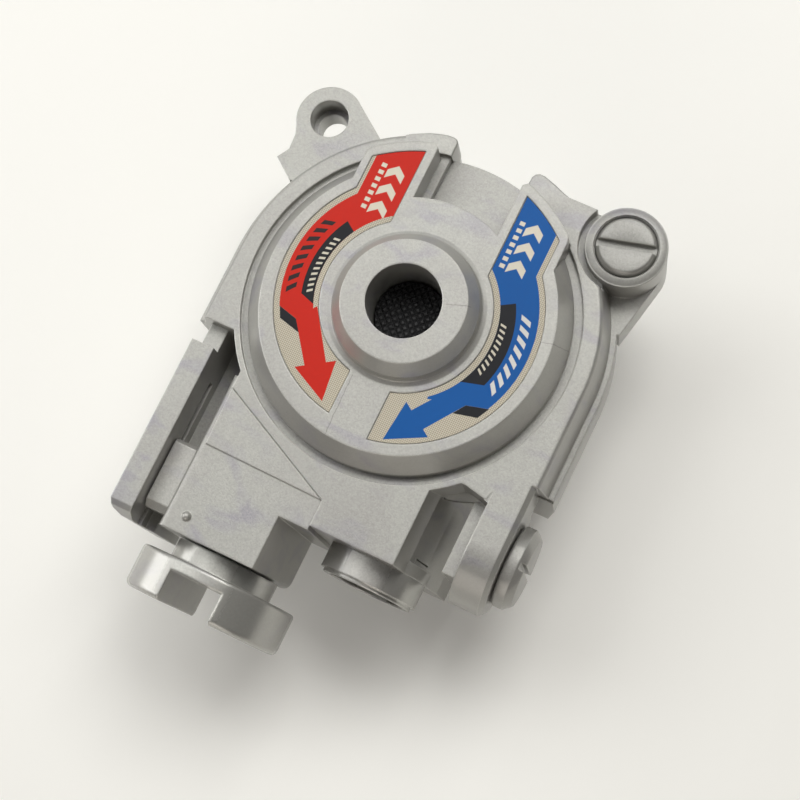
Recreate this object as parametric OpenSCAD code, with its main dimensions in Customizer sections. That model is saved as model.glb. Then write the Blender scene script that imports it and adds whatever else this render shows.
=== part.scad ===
// Two-way spinning top launcher, lying on its back with its round direction face up.
// The rotor axis is the Z axis, and the guard skirt at the back stands on z = 0.
// Depths are measured down from the flat face of the front shell.

/* [Body] */
// Radius of the face's outer edge
face_r = 29.4; // [28.6:0.1:30.2]
// Radius at the foot of the front shell's sloping wall
wall_foot_r = 30.5; // [30.3:0.1:31]
// Radius of the flange along the seam of the two shells
seam_r = 31.4; // [31.2:0.1:33]
// Radius of the back edge
back_r = 29.8; // [29:0.1:31]
// Radius of the housing's own round wall, beside the block and the channel
drum_r = 27.3; // [27.1:0.1:27.6]
// Depth of the seam below the face
seam_d = 7; // [6.6:0.1:7.6]
// Thickness of the body from its face to its back
body_t = 25; // [24.5:0.1:27]
// Thickness of the front shell's flange at the seam
flange_t = 1.2; // [0.8:0.1:1.6]
// Height of the back shell's flange below the seam
back_flange_t = 7; // [5:0.1:9]
// Side wall thickness
wall = 2; // [1.6:0.1:2.2]
// Thickness of the face plate
face_t = 2.4; // [2:0.1:2.8]
// Thickness of the back floor
floor_t = 2.4; // [2:0.1:2.8]
// Bevel along the face's outer edge
face_bevel = 0.8; // [0.4:0.1:1.2]
// Length of the straight wall on the right side, from the rotor axis
right_len = 16; // [15.6:0.1:16.2]
// Length of the straight wall on the left side, from the rotor axis
left_len = 13.3; // [13:0.1:13.8]
// Depth of the fine groove that marks the seam
seam_groove = 0.3; // [0.2:0.1:0.5]

/* [Direction cover] */
// Radius of the raised disc at its foot
disc_r = 25; // [24.8:0.1:25.6]
// Radius of the disc's flat top
disc_top_r = 22.7; // [22.3:0.1:23.2]
// Height of the disc above the face
disc_h = 4; // [3.5:0.1:5]
// Height of the disc's upright edge above the face
disc_edge_h = 0.6; // [0.4:0.1:1]
// Radius of the sunk seat round the disc
seat_r = 26.4; // [26.2:0.1:26.9]
// Depth of the sunk seat
seat_d = 1; // [0.8:0.1:1.2]
// Height of the centre hub above the face
hub_h = 8.1; // [7:0.1:10]
// Radius of the hub's flat rim
hub_top_r = 9.6; // [9:0.1:10]
// Radius of the hub under its bevel
hub_r = 11.2; // [10.8:0.1:11.6]
// Height of the hub's bevel
hub_bevel_h = 2.5; // [1.5:0.1:3.5]
// Radius at the foot of the hub's fillet
hub_foot_r = 12.2; // [12:0.1:12.3]
// Radius of the centre hole
eye_r = 5.8; // [5.7:0.1:6.2]
// Radius of the flat land round the hub, where the winder recess starts
land_r = 17.6; // [17:0.1:18.2]
// Inner edge of the red arm, left of the axis
red_in = 6.8; // [6.4:0.1:7.4]
// Outer edge of the red arm
red_out = 16.8; // [16.4:0.1:17.2]
// Inner edge of the blue arm, right of the axis
blue_in = 7.6; // [7.2:0.1:8]
// Outer edge of the blue arm
blue_out = 17.7; // [17.3:0.1:18.2]
// Radius that the arms reach
arm_r = 26.6; // [26.4:0.1:26.9]
// Cut-off at the corners of the arms
arm_corner = 0.8; // [0.5:0.1:1.2]

/* [Labels] */
// Thickness of a label
label_t = 0.2; // [0.1:0.05:0.3]
// Inner radius of the label bands
label_in_r = 13.2; // [12.8:0.1:13.6]
// Outer radius of the red label's band
red_label_r = 20.1; // [19.6:0.1:20.6]
// Outer radius of the blue label's band
blue_label_r = 20.8; // [20:0.1:21.4]
// Shift of the red label to the left and back
red_shift = 0.6; // [0:0.1:0.8]
// Rim left between a label and the inner edge of its arm
label_rim = 1.5; // [1.2:0.1:2]
// Rim left between a label and the outer edge of its arm
label_side_rim = 1.3; // [1:0.1:1.8]
// Distance of the red label's end from the middle
red_end = 3.6; // [3:0.1:4.5]
// Distance of the blue label's end from the middle
blue_end = 3.5; // [3:0.1:4.5]

/* [Winder path] */
// Distance of the winder paths' inner side from the axis
path_in = 9.6; // [9.6:0.05:9.7]
// Width of each winder path
path_w = 4.4; // [4.3:0.05:4.4]
// Height of each winder path
path_h = 6; // [5.9:0.05:6.1]
// Depth of the winder paths' middle below the face
path_d = 12; // [11.9:0.1:12.1]
// Left edge of the recess between the arms
mouth_left = 5.5; // [5:0.1:6]
// Right edge of the recess between the arms
mouth_right = 8.2; // [7.9:0.1:8.6]
// Outer radius of the wall across the recess
mouth_r = 26.6; // [26.4:0.1:27]
// Depth of the recess floor
mouth_d = 3; // [2.6:0.1:3.4]
// Thickness of a guide plate
guide_t = 1.5; // [1:0.1:1.8]
// Length of a guide plate
guide_l = 26; // [24:0.5:28]

/* [Rotor] */
// Radius of the spindle
spindle_r = 2.5; // [2.2:0.1:2.7]
// Number of gear teeth
gear_teeth = 16; // [12:1:20]
// Tip radius of the gear
gear_tip_r = 9.3; // [9:0.05:9.3]
// Root radius of the gear
gear_root_r = 7.3; // [6.8:0.1:7.8]
// Thickness of the gear
gear_t = 6; // [5.6:0.1:6]
// Radius of the gear's cross pin
gear_pin_r = 0.8; // [0.6:0.1:1]
// Radius of the black pad in the hub
pad_r = 5.45; // [5.2:0.05:5.5]
// Depth of the pad's face
pad_d = 0.6; // [0.4:0.1:1]
// Pitch of the pad's diamond grip
knurl_pitch = 0.95; // [0.8:0.05:1.2]
// Radius of the rotor hub
rotor_r = 14; // [13.4:0.1:14.6]
// Thickness of the rotor hub
rotor_t = 3.7; // [3.2:0.1:4]
// Radius of the prongs' outer face
prong_r = 12.4; // [11.6:0.1:12.8]
// Thickness of the prong plate
prong_t = 1.3; // [1:0.1:1.6]
// Width of a prong
prong_w = 7; // [5:0.1:8]
// Inner radius of the guard skirt
skirt_in_r = 16.6; // [15.2:0.1:17]
// Outer radius of the guard skirt
skirt_r = 18.8; // [18.4:0.1:20]
// Height of the guard skirt
skirt_h = 9; // [8.8:0.1:10]

/* [Coupling] */
// Distance of the coupling axis left of the rotor axis
coupling_x = 11.1; // [11:0.05:11.3]
// Radius of the coupling disc
coupling_r = 13; // [12.4:0.1:13.4]
// Radius of the neck
neck_r = 8.5; // [7.5:0.1:9]
// Length of the neck
neck_l = 3.1; // [2.4:0.1:3.6]
// Thickness of the disc's plate
plate_t = 1.9; // [1.5:0.1:2.5]
// Length of the two jaws in front of the plate
jaw_l = 5.1; // [4:0.1:7]
// Width of the slot between the jaws
slot_w = 8.8; // [8.6:0.1:10]
// Bore through the coupling
coupling_bore_r = 3.8; // [3.6:0.05:3.9]
// Radius of the journal that turns in the box wall
journal_r = 4.8; // [4.7:0.05:4.85]

/* [Box and block] */
// Left side of the box, from the axis
box_left = 20.8; // [20.6:0.1:21]
// Right side of the box, from the axis
box_right = 4.4; // [4:0.1:4.6]
// Front of the box
box_front = 45; // [44:0.1:45.6]
// Front of the step between box and block
step_front = 36.2; // [35.8:0.1:36.8]
// Step of the box top below the face
box_step = 0.4; // [0.2:0.1:0.6]
// Right side of the block's top
block_right = 14.6; // [14.4:0.1:15]
// Left side of the block
block_left = 0.55; // [0.3:0.05:0.8]
// Front of the block
block_front = 35.5; // [35:0.1:36]
// Reach of the block's foot beyond its top on the right
block_flare = 5.8; // [5.4:0.1:6]
// Distance of the socket axis right of the rotor axis
socket_x = 10.5; // [10.4:0.05:10.7]
// Outer radius of the socket
socket_r = 8; // [7.8:0.1:8.4]
// Bore of the socket
socket_bore_r = 6.3; // [6:0.1:6.5]
// Length of the socket in front of the block
socket_l = 4.6; // [4:0.1:6]

/* [Side channel] */
// Outer face of the side rail
rail_out = 29.2; // [28.8:0.1:29.6]
// Inner face of the side rail
rail_in = 25.4; // [25.2:0.1:25.6]
// Depth of the channel floor
channel_d = 10.8; // [10.4:0.1:11.4]
// Depth of the slide lock's top
lock_d = 3.4; // [3:0.1:4]
// Length of the slide lock
lock_l = 11.5; // [10:0.1:12]
// Distance from the slide lock's front end to the front of the box
lock_setback = 1.7; // [1.4:0.1:2.4]

/* [Hook eye and screw boss] */
// Radius of the hook plate's round head
hook_r = 5.4; // [5:0.1:5.8]
// Radius of the cord hole in the front plate
hook_hole_r = 3.1; // [2.8:0.1:3.4]
// Radius of the cord hole in the back plate
hook_back_r = 2.3; // [2:0.1:2.5]
// Thickness of each hook plate
hook_t = 4; // [3.6:0.1:4.4]
// Radius of the screw boss
boss_r = 6.3; // [6.2:0.1:6.6]
// Distance of the boss's middle outside the flange at the seam
boss_out = 3.07; // [2.9:0.01:3.3]
// Direction of the boss from the rotor axis, in degrees from the right side
boss_angle = 42.3; // [41:0.1:44]
// Depth of the boss below the face
boss_depth = 12; // [11.4:0.1:13]
// Radius of the lock screw's head
lock_head_r = 4.5; // [4.2:0.1:4.8]
// Radius of the lock screw's shank
lock_shank_r = 2; // [1.8:0.1:2.3]

/* [Pivot lug] */
// Distance of the lug's left side inside the housing's round wall
lug_inset = 4; // [3.7:0.1:4.3]
// Thickness of the lug
lug_t = 5.6; // [5.2:0.1:5.7]
// Radius of the lug's nose
lug_r = 9; // [8.6:0.1:9.2]
// Distance of the pivot in front of the rotor axis
pivot_y = 27.3; // [27:0.1:27.8]
// Radius of the pivot's shaft
pivot_r = 2.4; // [2:0.1:2.8]
// Radius of the pivot's slotted head
pivot_head_r = 6.1; // [5.4:0.1:6.3]

/* [Hidden] */
$fn = 64;

// Overrun of every cut past its face
over = 1;
// Gap between pieces that are pressed or glued together
fit_gap = 0.03;
// Running gap of a shaft in its bearing, on the radius
run_gap = 0.05;
// Gap between pieces that pass each other
clear = 0.3;
// Gap between pieces that slide past flat faces
slide_gap = 0.25;
// Height of the face above the table
face_z = body_t + skirt_h;
// Length of the back shell's straight wall on the right
back_right_len = right_len + clear;
// Depth where the front shell's sloping wall meets its flange
flange_d = seam_d - flange_t;
// Depth of the back shell's inner floor
floor_d = body_t - floor_t;

// Inner radii of the shells
cavity_r = drum_r - wall;
wide_cavity_r = face_r - wall;
// Front limit of the wider part of the cavity
wide_cavity_y = -10;

// Bearing cup under the direction cover
cup_t = 2;
cup_r = hub_r + wall;
cup_in_r = hub_r + clear;
spigot_reach = 1;
spigot_d = face_t + spigot_reach;
bush_r = 4.2;
bush_flange_r = 5.3;
bush_flange_t = 0.8;
washer_t = 0.8;
washer_gap = 0.1;
washer_r = 4.6;
gear_web_d = 1.4;
boss_wall = 2.8;
boss_in_r = bush_r + boss_wall;

// Stack along the rotor axis, as depths
gear_top = path_d - gear_t / 2;
gear_bottom = path_d + gear_t / 2;
front_bush_end = gear_top - washer_t - washer_gap;
back_washer_end = gear_bottom + washer_t;
back_bush_top = back_washer_end + washer_gap;
back_boss_top = back_bush_top + bush_flange_t;
rotor_top = body_t + clear;
rotor_bottom = rotor_top + rotor_t;
plate_bottom = rotor_bottom + prong_t;
prong_end = body_t + skirt_h - clear;
hub_screw_head_r = 3;
hub_screw_head_t = 1.7;
hub_screw_r = 1.25;
hub_screw_l = 7;
hub_screw_top = plate_bottom - hub_screw_l;
spindle_short = 1.1;
spindle_end = rotor_bottom - spindle_short;
spindle_flat = 1.9;
prong_hook = 1.3;
prong_foot = 1;
rotor_bevel = 1;
rotor_rim = 2.5;
rotor_boss = 3.2;
gear_rim = 1.2;
recess_l = 2.6;
recess_w = 0.7;
recess_d = 0.9;

// Case screws
screw_inset = 4.3;
screw_pitch_r = drum_r - screw_inset;
screw_angles = [22, 158, 212, 328];
screw_r = 1.3;
screw_head_r = 2.6;
screw_head_t = 2;
screw_sunk = 1.6;
post_r = 2.8;
post_wall = 1.4;
post_roof = 1.2;
post_foot_r = screw_head_r + clear + post_wall;
post_foot_t = screw_sunk + screw_head_t + post_roof;
screw_tip_d = face_t + clear;
screw_seat_d = body_t - screw_sunk - screw_head_t;

// Outline of the face in front of the ring: the ridge beside the box, the block and the gusset
ridge_inset = 0.9;
ridge_back = 21.5;
ridge_front = 31.3;
ridge_top = [-box_left + ridge_inset, -ridge_back];
ridge_end = [block_left, -ridge_front];
gusset_l = 4.5;
gusset_back = 20.1;
gusset_drop = 0.75;
gusset_slope = 1.55;
gusset_inset = 0.4;
lug_left = drum_r - lug_inset;
gusset_side = [block_right + gusset_l, -gusset_back];
gusset_tip = [lug_left - gusset_inset, -gusset_back - gusset_drop];
gusset_root = [lug_left, -gusset_back - gusset_drop + gusset_slope];
crease_y = -31;
crease_step = 0.2;

// Block side wall, as shares of its flare and of the body's thickness
flare_shares = [[0, 0], [0.17, 0.24], [0.5, 0.48], [0.88, 0.72], [1, 1]];

// Winder mouth
mouth_wall_r = mouth_r - wall;

// Screw boss place, web and groove; outlines are shares of the flange's radius
boss_at = (seam_r + boss_out) * [cos(boss_angle), sin(boss_angle)];
lock_head_gap = 0.35;
boss_sink_r = lock_head_r + lock_head_gap;
boss_sink_d = 1.9;
boss_groove_w = 1.1;
boss_groove_d = 2;
web_shares = [[0.3822, 0.7643], [0.3822, 0.8567], [0.6497, 0.8567], [1.0064, 0.6879], [0.9427, 0.3662],
    [0.828, 0.3822]];
ridge_shares = [[0.3822, 0.7006], [0.3822, 0.8567], [0.6497, 0.8567], [0.7484, 0.7325]];
lock_head_top = 0.2;
lock_foot_l = 5.6;
lock_foot_w = 2.6;
lock_foot_t = 1.3;
lock_slot_w = 0.75;
lock_slot_d = 0.8;

// Hook plate place and outline, as shares of the flange's radius
hook_share = [-0.8503, 0.7803];
hook_at = seam_r * hook_share;
hook_outline_shares = [[-1.0032, 0.707], [-0.9745, 0.6369], [-0.9682, 0.5541], [-1.0064, 0.4904],
    [-0.8917, 0.4045], [-0.6369, 0.4459], [-0.5605, 0.7834], [-0.7611, 0.9268], [-0.8503, 0.7803]];
hook_front_d = seam_d - hook_t;

// Lug and pivot
pivot_d = lug_r;
pivot_collar_r = 5;
pivot_collar_t = 1.5;
pivot_head_t = 1.7;
pivot_slot_w = 0.9;
pivot_slot_d = 0.8;
nut_w = 2.3;
lug_right = lug_left + lug_t;
lug_arm_d = 9;
lug_bevel = 0.8;
nut_left = lug_left - nut_w;
nut_y0 = -33;
nut_y1 = -21.3;
nut_top = 4;
nut_bottom = 14;
pivot_clip_t = 0.7;
pivot_clip_r = 3.7;
pivot_pocket_d = 1.3;
pivot_groove = 0.5;
pivot_groove_r = pivot_r - pivot_groove;

// Coupling
coupling_clip_t = 1.2;
clip_lap = 0.45;
coupling_clip_r = journal_r + clip_lap;
coupling_groove_r = journal_r - clip_lap;
clip_mouth = 6;
box_wall = 1.3;
box_in_left = -18.4;
box_wall_front = 2;
clip_y = box_wall_front - box_front + slide_gap;
journal_end = 1.2;
journal_back = box_front - box_wall_front - slide_gap - coupling_clip_t - journal_end;
jaw_bevel = 0.5;
pip_r = 0.75;
pip_in = 3.6;
pip_back = 2.8;
pip_at = [pip_in - box_left, pip_back - box_front];

// Socket sleeve
sleeve_step = 1;
sleeve_spigot_r = socket_r - sleeve_step;
sleeve_bevel = 0.6;

// Side channel
rail_reach = 1.3;
rail_end = box_front + rail_reach;
rail_end_slope = 3.2;
rail_foot = 1.6;
rail_top_end = 17.2;
rail_corner = 1.8;
rail_neck_d = 2.6;
rail_neck_in = 0.9;
tongue_w = 0.8;
tongue_top_d = 6.5;
box_edge = 1.1;
box_flare = 1;
box_corner = 1.4;
mouth_corner_shares = [[-0.2739, 1.051], [-0.2739, 0.9713], [-0.2102, 0.9395], [-0.172, 0.879], [-0.172,
    0.7962], [0, 0.7962], [0, 1.051]];
corner_shares = [[0, 1], [0.38, 0.92], [0.71, 0.71], [0.92, 0.38], [1, 0]];
soft_edge = 1;
tongue_t = 1.4;
lighten_wall = 1.6;
lock_bevel = 1.2;

hub_fillet = hub_foot_r - hub_r;
tooth_shares = [[-0.2, -1.75], [0, -1.7], [0.55, -1.15], [1, -0.5], [1, 0.5], [0.55, 1.15], [0, 1.7],
    [-0.2, 1.75]];

// Labels
label_lower = 0.1;
label_sink = label_t + label_lower;
label_gap = 0.1;
label_reach = 25;

// Guide plates
guide_x = path_in + path_w + clear;
guide_end = 18.5;

// Knurl
knurl_d = 0.28;
knurl_rows = ceil(pad_r / knurl_pitch);
pad_t = 2.6;
pad_roof = 1.2;
spindle_top = pad_d + pad_roof;
diagonal_share = 1.4142;

// Points of a rounded corner at x and y, where the outline runs along x first; dx and dy point outward
function soft_corner(x, y, r, dx, dy) =
    [for (c = corner_shares) [x - dx * r * (1 - c[0]), y + dy * r * (1 - c[1])]];

// Places what it holds so that z = 0 becomes the flat face
module at_face() {
    translate([0, 0, face_z]) children();
}

// A flat shape as a solid between two depths
module slab(top, bottom) {
    translate([0, 0, face_z - bottom]) linear_extrude(bottom - top) children();
}

// A round solid on the rotor axis between two depths
module drum(r, top, bottom) {
    translate([0, 0, face_z - bottom]) cylinder(r = r, h = bottom - top);
}

// A ring on the rotor axis between two depths
module ring(r, bore, top, bottom) {
    difference() {
        drum(r, top, bottom);
        drum(bore, top - over, bottom + over);
    }
}

// A round solid along Y, from y0 back to y1, at the winder paths' depth
module y_drum(x, r, y0, y1) {
    translate([x, y1, face_z - path_d]) rotate([90, 0, 0]) cylinder(r = r, h = y1 - y0);
}

// A round solid along X at the pivot
module x_drum(r, x0, x1) {
    translate([x0, -pivot_y, face_z - pivot_d]) rotate([0, 90, 0]) cylinder(r = r, h = x1 - x0);
}

// A block between two corners in plan and two depths
module block(x0, x1, y0, y1, top, bottom) {
    translate([x0, y0, face_z - bottom]) cube([x1 - x0, y1 - y0, bottom - top]);
}

// A wall profile swept round the axis and along both straight sides
module swept_wall(profile, right, left) {
    at_face() rotate_extrude($fn = 180) polygon(profile);
    at_face() rotate([90, 0, 0]) linear_extrude(right) polygon(profile);
    at_face() mirror([1, 0, 0]) rotate([90, 0, 0]) linear_extrude(left) polygon(profile);
}

// Everything in front of the straight sides' ends
module front_zone(right, left) {
    block(0, 2 * seam_r, -2 * seam_r, -right, -over, body_t + over);
    block(-2 * seam_r, 0, -2 * seam_r, -left, -over, body_t + over);
}

// The recess between the two arms, outside a given radius
module mouth_zone(inner, left, right, top, bottom) {
    difference() {
        block(-left, right, 0, 2 * seam_r, top, bottom);
        drum(inner, top - over, bottom + over);
    }
}

// Both winder paths, from behind the body to the front of the coupling
module winder_paths(y0, y1) {
    for (x = [path_in, -path_in - path_w])
        block(x, x + path_w, y0, y1, path_d - path_h / 2, path_d + path_h / 2);
}

// Main hollow between two depths, narrower across the winder recess and at the front
module hollow(top, bottom) {
    difference() {
        union() {
            drum(cavity_r, top, bottom);
            difference() {
                drum(wide_cavity_r, top, bottom);
                block(-2 * seam_r, 2 * seam_r, -2 * seam_r, wide_cavity_y, top - over, bottom + over);
            }
        }
        mouth_zone(mouth_wall_r, mouth_left + wall, mouth_right + wall, top - over, bottom + over);
    }
}

// Places of the case screws
module at_screws() {
    for (a = screw_angles) rotate([0, 0, a]) translate([screw_pitch_r, 0, 0]) rotate([0, 0, 180]) children();
}

// Block cross-section in X and depth, with its hollow foot on the right
function block_profile(left, right, top, bottom, flare) = concat([[left, -bottom], [left, -top]],
    [for (s = flare_shares) [right + flare * s[0], -top - (bottom - top) * s[1]]]);

module block_body(grow, top, bottom, y0, y1) {
    at_face() translate([0, y1, 0]) rotate([90, 0, 0]) linear_extrude(y1 - y0)
        polygon(block_profile(block_left - grow, block_right + grow, top, bottom, block_flare));
}

// Plan of the face in front of the ring
module face_plan() {
    polygon([[ridge_top[0], 0], ridge_top, ridge_end, [block_left, -block_front], [block_right, -block_front],
        [block_right, gusset_side[1]], gusset_side, gusset_tip, gusset_root, [lug_left, 0]]);
}

// Hook plate with its cord hole, between two depths
module hook_plate(top, bottom, hole) {
    difference() {
        union() {
            slab(top, bottom) polygon(seam_r * hook_outline_shares);
            translate([hook_at[0], hook_at[1], 0]) drum(hook_r, top, bottom);
        }
        translate([hook_at[0], hook_at[1], 0]) drum(hole, top - over, bottom + over);
        drum(cavity_r + wall / 2, top - over, bottom + over);
    }
}

module lug() {
    x_drum(lug_r, lug_left, lug_right - lug_bevel);
    translate([lug_right - lug_bevel, -pivot_y, face_z - pivot_d]) rotate([0, 90, 0])
        cylinder(r1 = lug_r, r2 = lug_r - lug_bevel, h = lug_bevel);
    at_face() translate([0, -right_len, 0]) rotate([90, 0, 0]) linear_extrude(pivot_y - right_len)
        polygon([[lug_left, 0], [lug_right - lug_bevel, 0], [lug_right, -lug_bevel], [lug_right, -lug_arm_d],
            [lug_left, -lug_arm_d]]);
}

module front_shell() {
    wall_profile = concat([[0, 0]], soft_corner(face_r, 0, face_bevel, 1, -1), [[wall_foot_r, -flange_d],
        [seam_r, -flange_d], [seam_r, -seam_d], [0, -seam_d]]);
    color([0.74, 0.74, 0.73]) difference() {
        union() {
            difference() {
                union() {
                    difference() {
                        swept_wall(wall_profile, right_len, left_len);
                        front_zone(right_len, left_len);
                        slab(-over, seam_d + over) polygon(seam_r * mouth_corner_shares);
                    }
                    drum(drum_r, 0, seam_d);
                    slab(0, seam_d) face_plan();
                    slab(flange_d, seam_d) polygon(seam_r * web_shares);
                    slab(0, seam_d) polygon(seam_r * ridge_shares);
                }
                hollow(face_t, seam_d + over);
                block(-2 * seam_r, ridge_top[0], -2 * seam_r, -left_len, -over, seam_d + over);
                mouth_zone(mouth_r, mouth_left, mouth_right, -over, seam_d + over);
                mouth_zone(land_r + clear, mouth_left, mouth_right, -over, mouth_d);
            }
            intersection() {
                drum(drum_r, 0, seam_d);
                block(-2 * seam_r, ridge_top[0], -2 * seam_r, -left_len, 0, seam_d);
            }
            intersection() {
                mouth_zone(land_r, mouth_left + wall, mouth_right + wall, mouth_d, mouth_d + face_t);
                drum(cavity_r, 0, seam_d);
            }
            translate([boss_at[0], boss_at[1], 0]) drum(boss_r, 0, seam_d);
            hook_plate(hook_front_d, seam_d, hook_hole_r);
            difference() {
                block_body(0, 0, body_t, -block_front, -cavity_r / 2);
                drum(drum_r + clear, seam_d, body_t + over);
                hollow(face_t, seam_d + over);
            }
            lug();
            difference() {
                y_drum(socket_x, socket_r, -block_front, wall - block_front);
                block(-over, 2 * seam_r, -block_front, wall - block_front + over, body_t, body_t + socket_r);
            }
            ring(cup_r, cup_in_r, face_t - over, seam_d);
            ring(cup_r, bush_r + fit_gap, seam_d - cup_t, seam_d);
            at_screws() drum(post_r, face_t - over, seam_d);
        }
        // Seat, eye and groove round the direction cover
        drum(seat_r, -over, seat_d);
        slab(-over, seat_d) arm_plan(red_in - label_gap, red_out + label_gap, arm_r + label_gap, -1);
        slab(-over, seat_d) arm_plan(blue_in - label_gap, blue_out + label_gap, arm_r + label_gap, 1);
        drum(cup_in_r, -over, seam_d - cup_t);
        mouth_zone(land_r + clear, mouth_left, mouth_right, -over, mouth_d);
        mouth_zone(mouth_r, mouth_left, mouth_right, -over, seam_d + over);
        // Hollow of the block, open to the main hollow along the winder path
        difference() {
            at_face() translate([0, -cavity_r / 2, 0]) rotate([90, 0, 0])
                linear_extrude(block_front - wall - cavity_r / 2)
                polygon(block_profile(block_left + wall, block_right - wall, face_t, floor_d, block_flare));
            drum(drum_r + clear, face_t - over, seam_d);
        }
        y_drum(socket_x, sleeve_spigot_r + fit_gap, -block_front - over, -block_front + wall + over);
        // Lock screw seat, hole and the groove round the boss
        translate([boss_at[0], boss_at[1], 0]) {
            drum(boss_sink_r, -over, boss_sink_d);
            drum(lock_shank_r + run_gap, 0, seam_d + over);
            difference() {
                ring(boss_r + boss_groove_w, boss_r, -over, boss_groove_d);
                block(0, 2 * boss_r, -2 * boss_r, 2 * boss_r, -2 * over, seam_d);
            }
        }
        x_drum(pivot_r + run_gap, lug_left - over, lug_right + over);
        at_screws() drum(screw_r + fit_gap, screw_tip_d, seam_d + over);
    }
}

// Box at the lower left, with its left edge rounded and its right wall flaring out towards the back
module box_body() {
    front_plan = concat([[-box_left, ridge_top[1] + wall], [-box_left, -box_front]],
        [for (c = corner_shares) [-box_right + box_flare - box_corner * (1 - c[0]),
            -box_front + box_corner * (1 - c[1])]],
        [[-box_right + box_flare, ridge_top[1] + wall]]);
    front_profile = concat([[-box_left, -body_t]],
        [for (c = corner_shares) [-box_left + box_edge * (1 - c[1]), -box_step - box_edge * (1 - c[0])]],
        [[-box_right, -box_step], [-box_right + box_flare, -body_t]]);
    intersection() {
        slab(box_step - over, body_t + over) polygon(front_plan);
        at_face() translate([0, ridge_top[1] + wall, 0]) rotate([90, 0, 0])
            linear_extrude(box_front) polygon(front_profile);
        box_top();
    }
    intersection() {
        block(-box_right - over, block_left - fit_gap, -step_front, ridge_top[1] + wall, box_step, body_t);
        box_top();
    }
    intersection() {
        slab(crease_step, seam_d) polygon([[-box_left + box_edge, crease_y], ridge_end, ridge_top]);
        box_top();
    }
}

// Everything that the front shell leaves free for the box
module box_top() {
    difference() {
        block(-2 * seam_r, 2 * seam_r, -2 * seam_r, 0, -over, body_t + over);
        slab(-2 * over, seam_d) translate([0, -fit_gap, 0]) face_plan();
        drum(drum_r + fit_gap, -2 * over, seam_d);
    }
}

// Side rail, channel floor and the low neck that joins the rail to the ring
module channel_body() {
    rail_plan = [[-rail_in, -rail_top_end], [-rail_out, -rail_top_end], [-rail_out, rail_corner - rail_end],
        [rail_corner * 0.3 - rail_out, rail_corner * 0.3 - rail_end], [rail_corner - rail_out, -rail_end],
        [-rail_in, -rail_end]];
    rail_side = [[-rail_top_end + over, 0], [rail_corner - rail_end, 0],
        [rail_corner * 0.5 - rail_end, -rail_corner * 0.25], [-rail_end, -rail_end_slope],
        [-rail_end, -body_t], [-rail_top_end + over, -body_t]];
    intersection() {
        slab(0, body_t) polygon(rail_plan);
        at_face() translate([-rail_out - over, 0, 0]) rotate([90, 0, 90])
            linear_extrude(rail_out - rail_in + 2 * over) polygon(rail_side);
    }
    block(rail_neck_in - rail_out, -rail_in, -rail_top_end - over, -left_len, rail_neck_d, body_t);
    block(-rail_in - over, -box_left + over, clear - box_front, -left_len, channel_d, body_t);
    block(-rail_in - over, -rail_in + rail_foot, -rail_end, -left_len, channel_d, body_t);
}

module back_shell() {
    lip_r = seam_r - seam_groove;
    wall_profile = [[0, -seam_d], [lip_r, -seam_d], [lip_r, -seam_d - seam_groove],
        [seam_r, -seam_d - seam_groove], [seam_r, -seam_d - back_flange_t],
        [back_r, -body_t], [0, -body_t]];
    color([0.72, 0.72, 0.71]) difference() {
        union() {
            difference() {
                union() {
                    difference() {
                        swept_wall(wall_profile, back_right_len, left_len);
                        front_zone(back_right_len, left_len);
                        slab(seam_d - over, body_t + over) polygon(seam_r * mouth_corner_shares);
                    }
                    drum(drum_r, seam_d, body_t);
                    box_body();
                    channel_body();
                    slab(seam_d, boss_depth) polygon(seam_r * web_shares);
                    hook_plate(seam_d, seam_d + hook_t, hook_back_r);
                    drum(skirt_r, body_t - over, face_z);
                }
                mouth_zone(mouth_r, mouth_left, mouth_right, seam_d - over, body_t + over);
                hollow(seam_d - over, floor_d);
                drum(skirt_in_r, body_t, face_z + over);
                // Hollow of the box
                difference() {
                    union() {
                        block(box_in_left, -box_right - box_wall, -box_front + box_wall_front,
                            -cavity_r / 2, seam_d, floor_d);
                        block(box_in_left, -box_right - box_wall, -box_front + box_wall_front,
                            crease_y - wall, face_t, seam_d + over);
                    }
                    drum(drum_r, 0, body_t);
                }
                y_drum(-coupling_x, journal_r + run_gap, -box_front - over,
                    -box_front + box_wall_front + over);
                winder_paths(-box_front + box_wall_front, 2 * seam_r);
                // Tongue grooves of the slide lock and the hollow underside of the channel
                block(-rail_in - tongue_w - slide_gap, tongue_w + slide_gap - box_left,
                    -rail_end - over, ridge_top[1], tongue_top_d - slide_gap,
                    tongue_top_d + tongue_t + slide_gap);
                block(lighten_wall - rail_out, -box_left - lighten_wall, lighten_wall - box_front,
                    -rail_top_end - lighten_wall, channel_d + wall, body_t + over);
            }
            translate([boss_at[0], boss_at[1], 0]) drum(boss_r, seam_d, boss_depth);
            translate([pip_at[0], pip_at[1], face_z - box_step]) sphere(pip_r, $fn = 32);
            drum(boss_in_r, back_boss_top, floor_d + over);
            at_screws() {
                drum(post_r, seam_d, floor_d + over);
                drum(post_foot_r, body_t - post_foot_t, floor_d + over);
            }
        }
        translate([boss_at[0], boss_at[1], 0]) drum(lock_shank_r + run_gap, seam_d - over, boss_depth + over);
        drum(bush_r + fit_gap, 0, body_t + over);
        at_screws() {
            drum(screw_r + run_gap, seam_d - over, body_t + over);
            drum(screw_head_r + run_gap, screw_seat_d, body_t + over);
        }
    }
}

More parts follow.
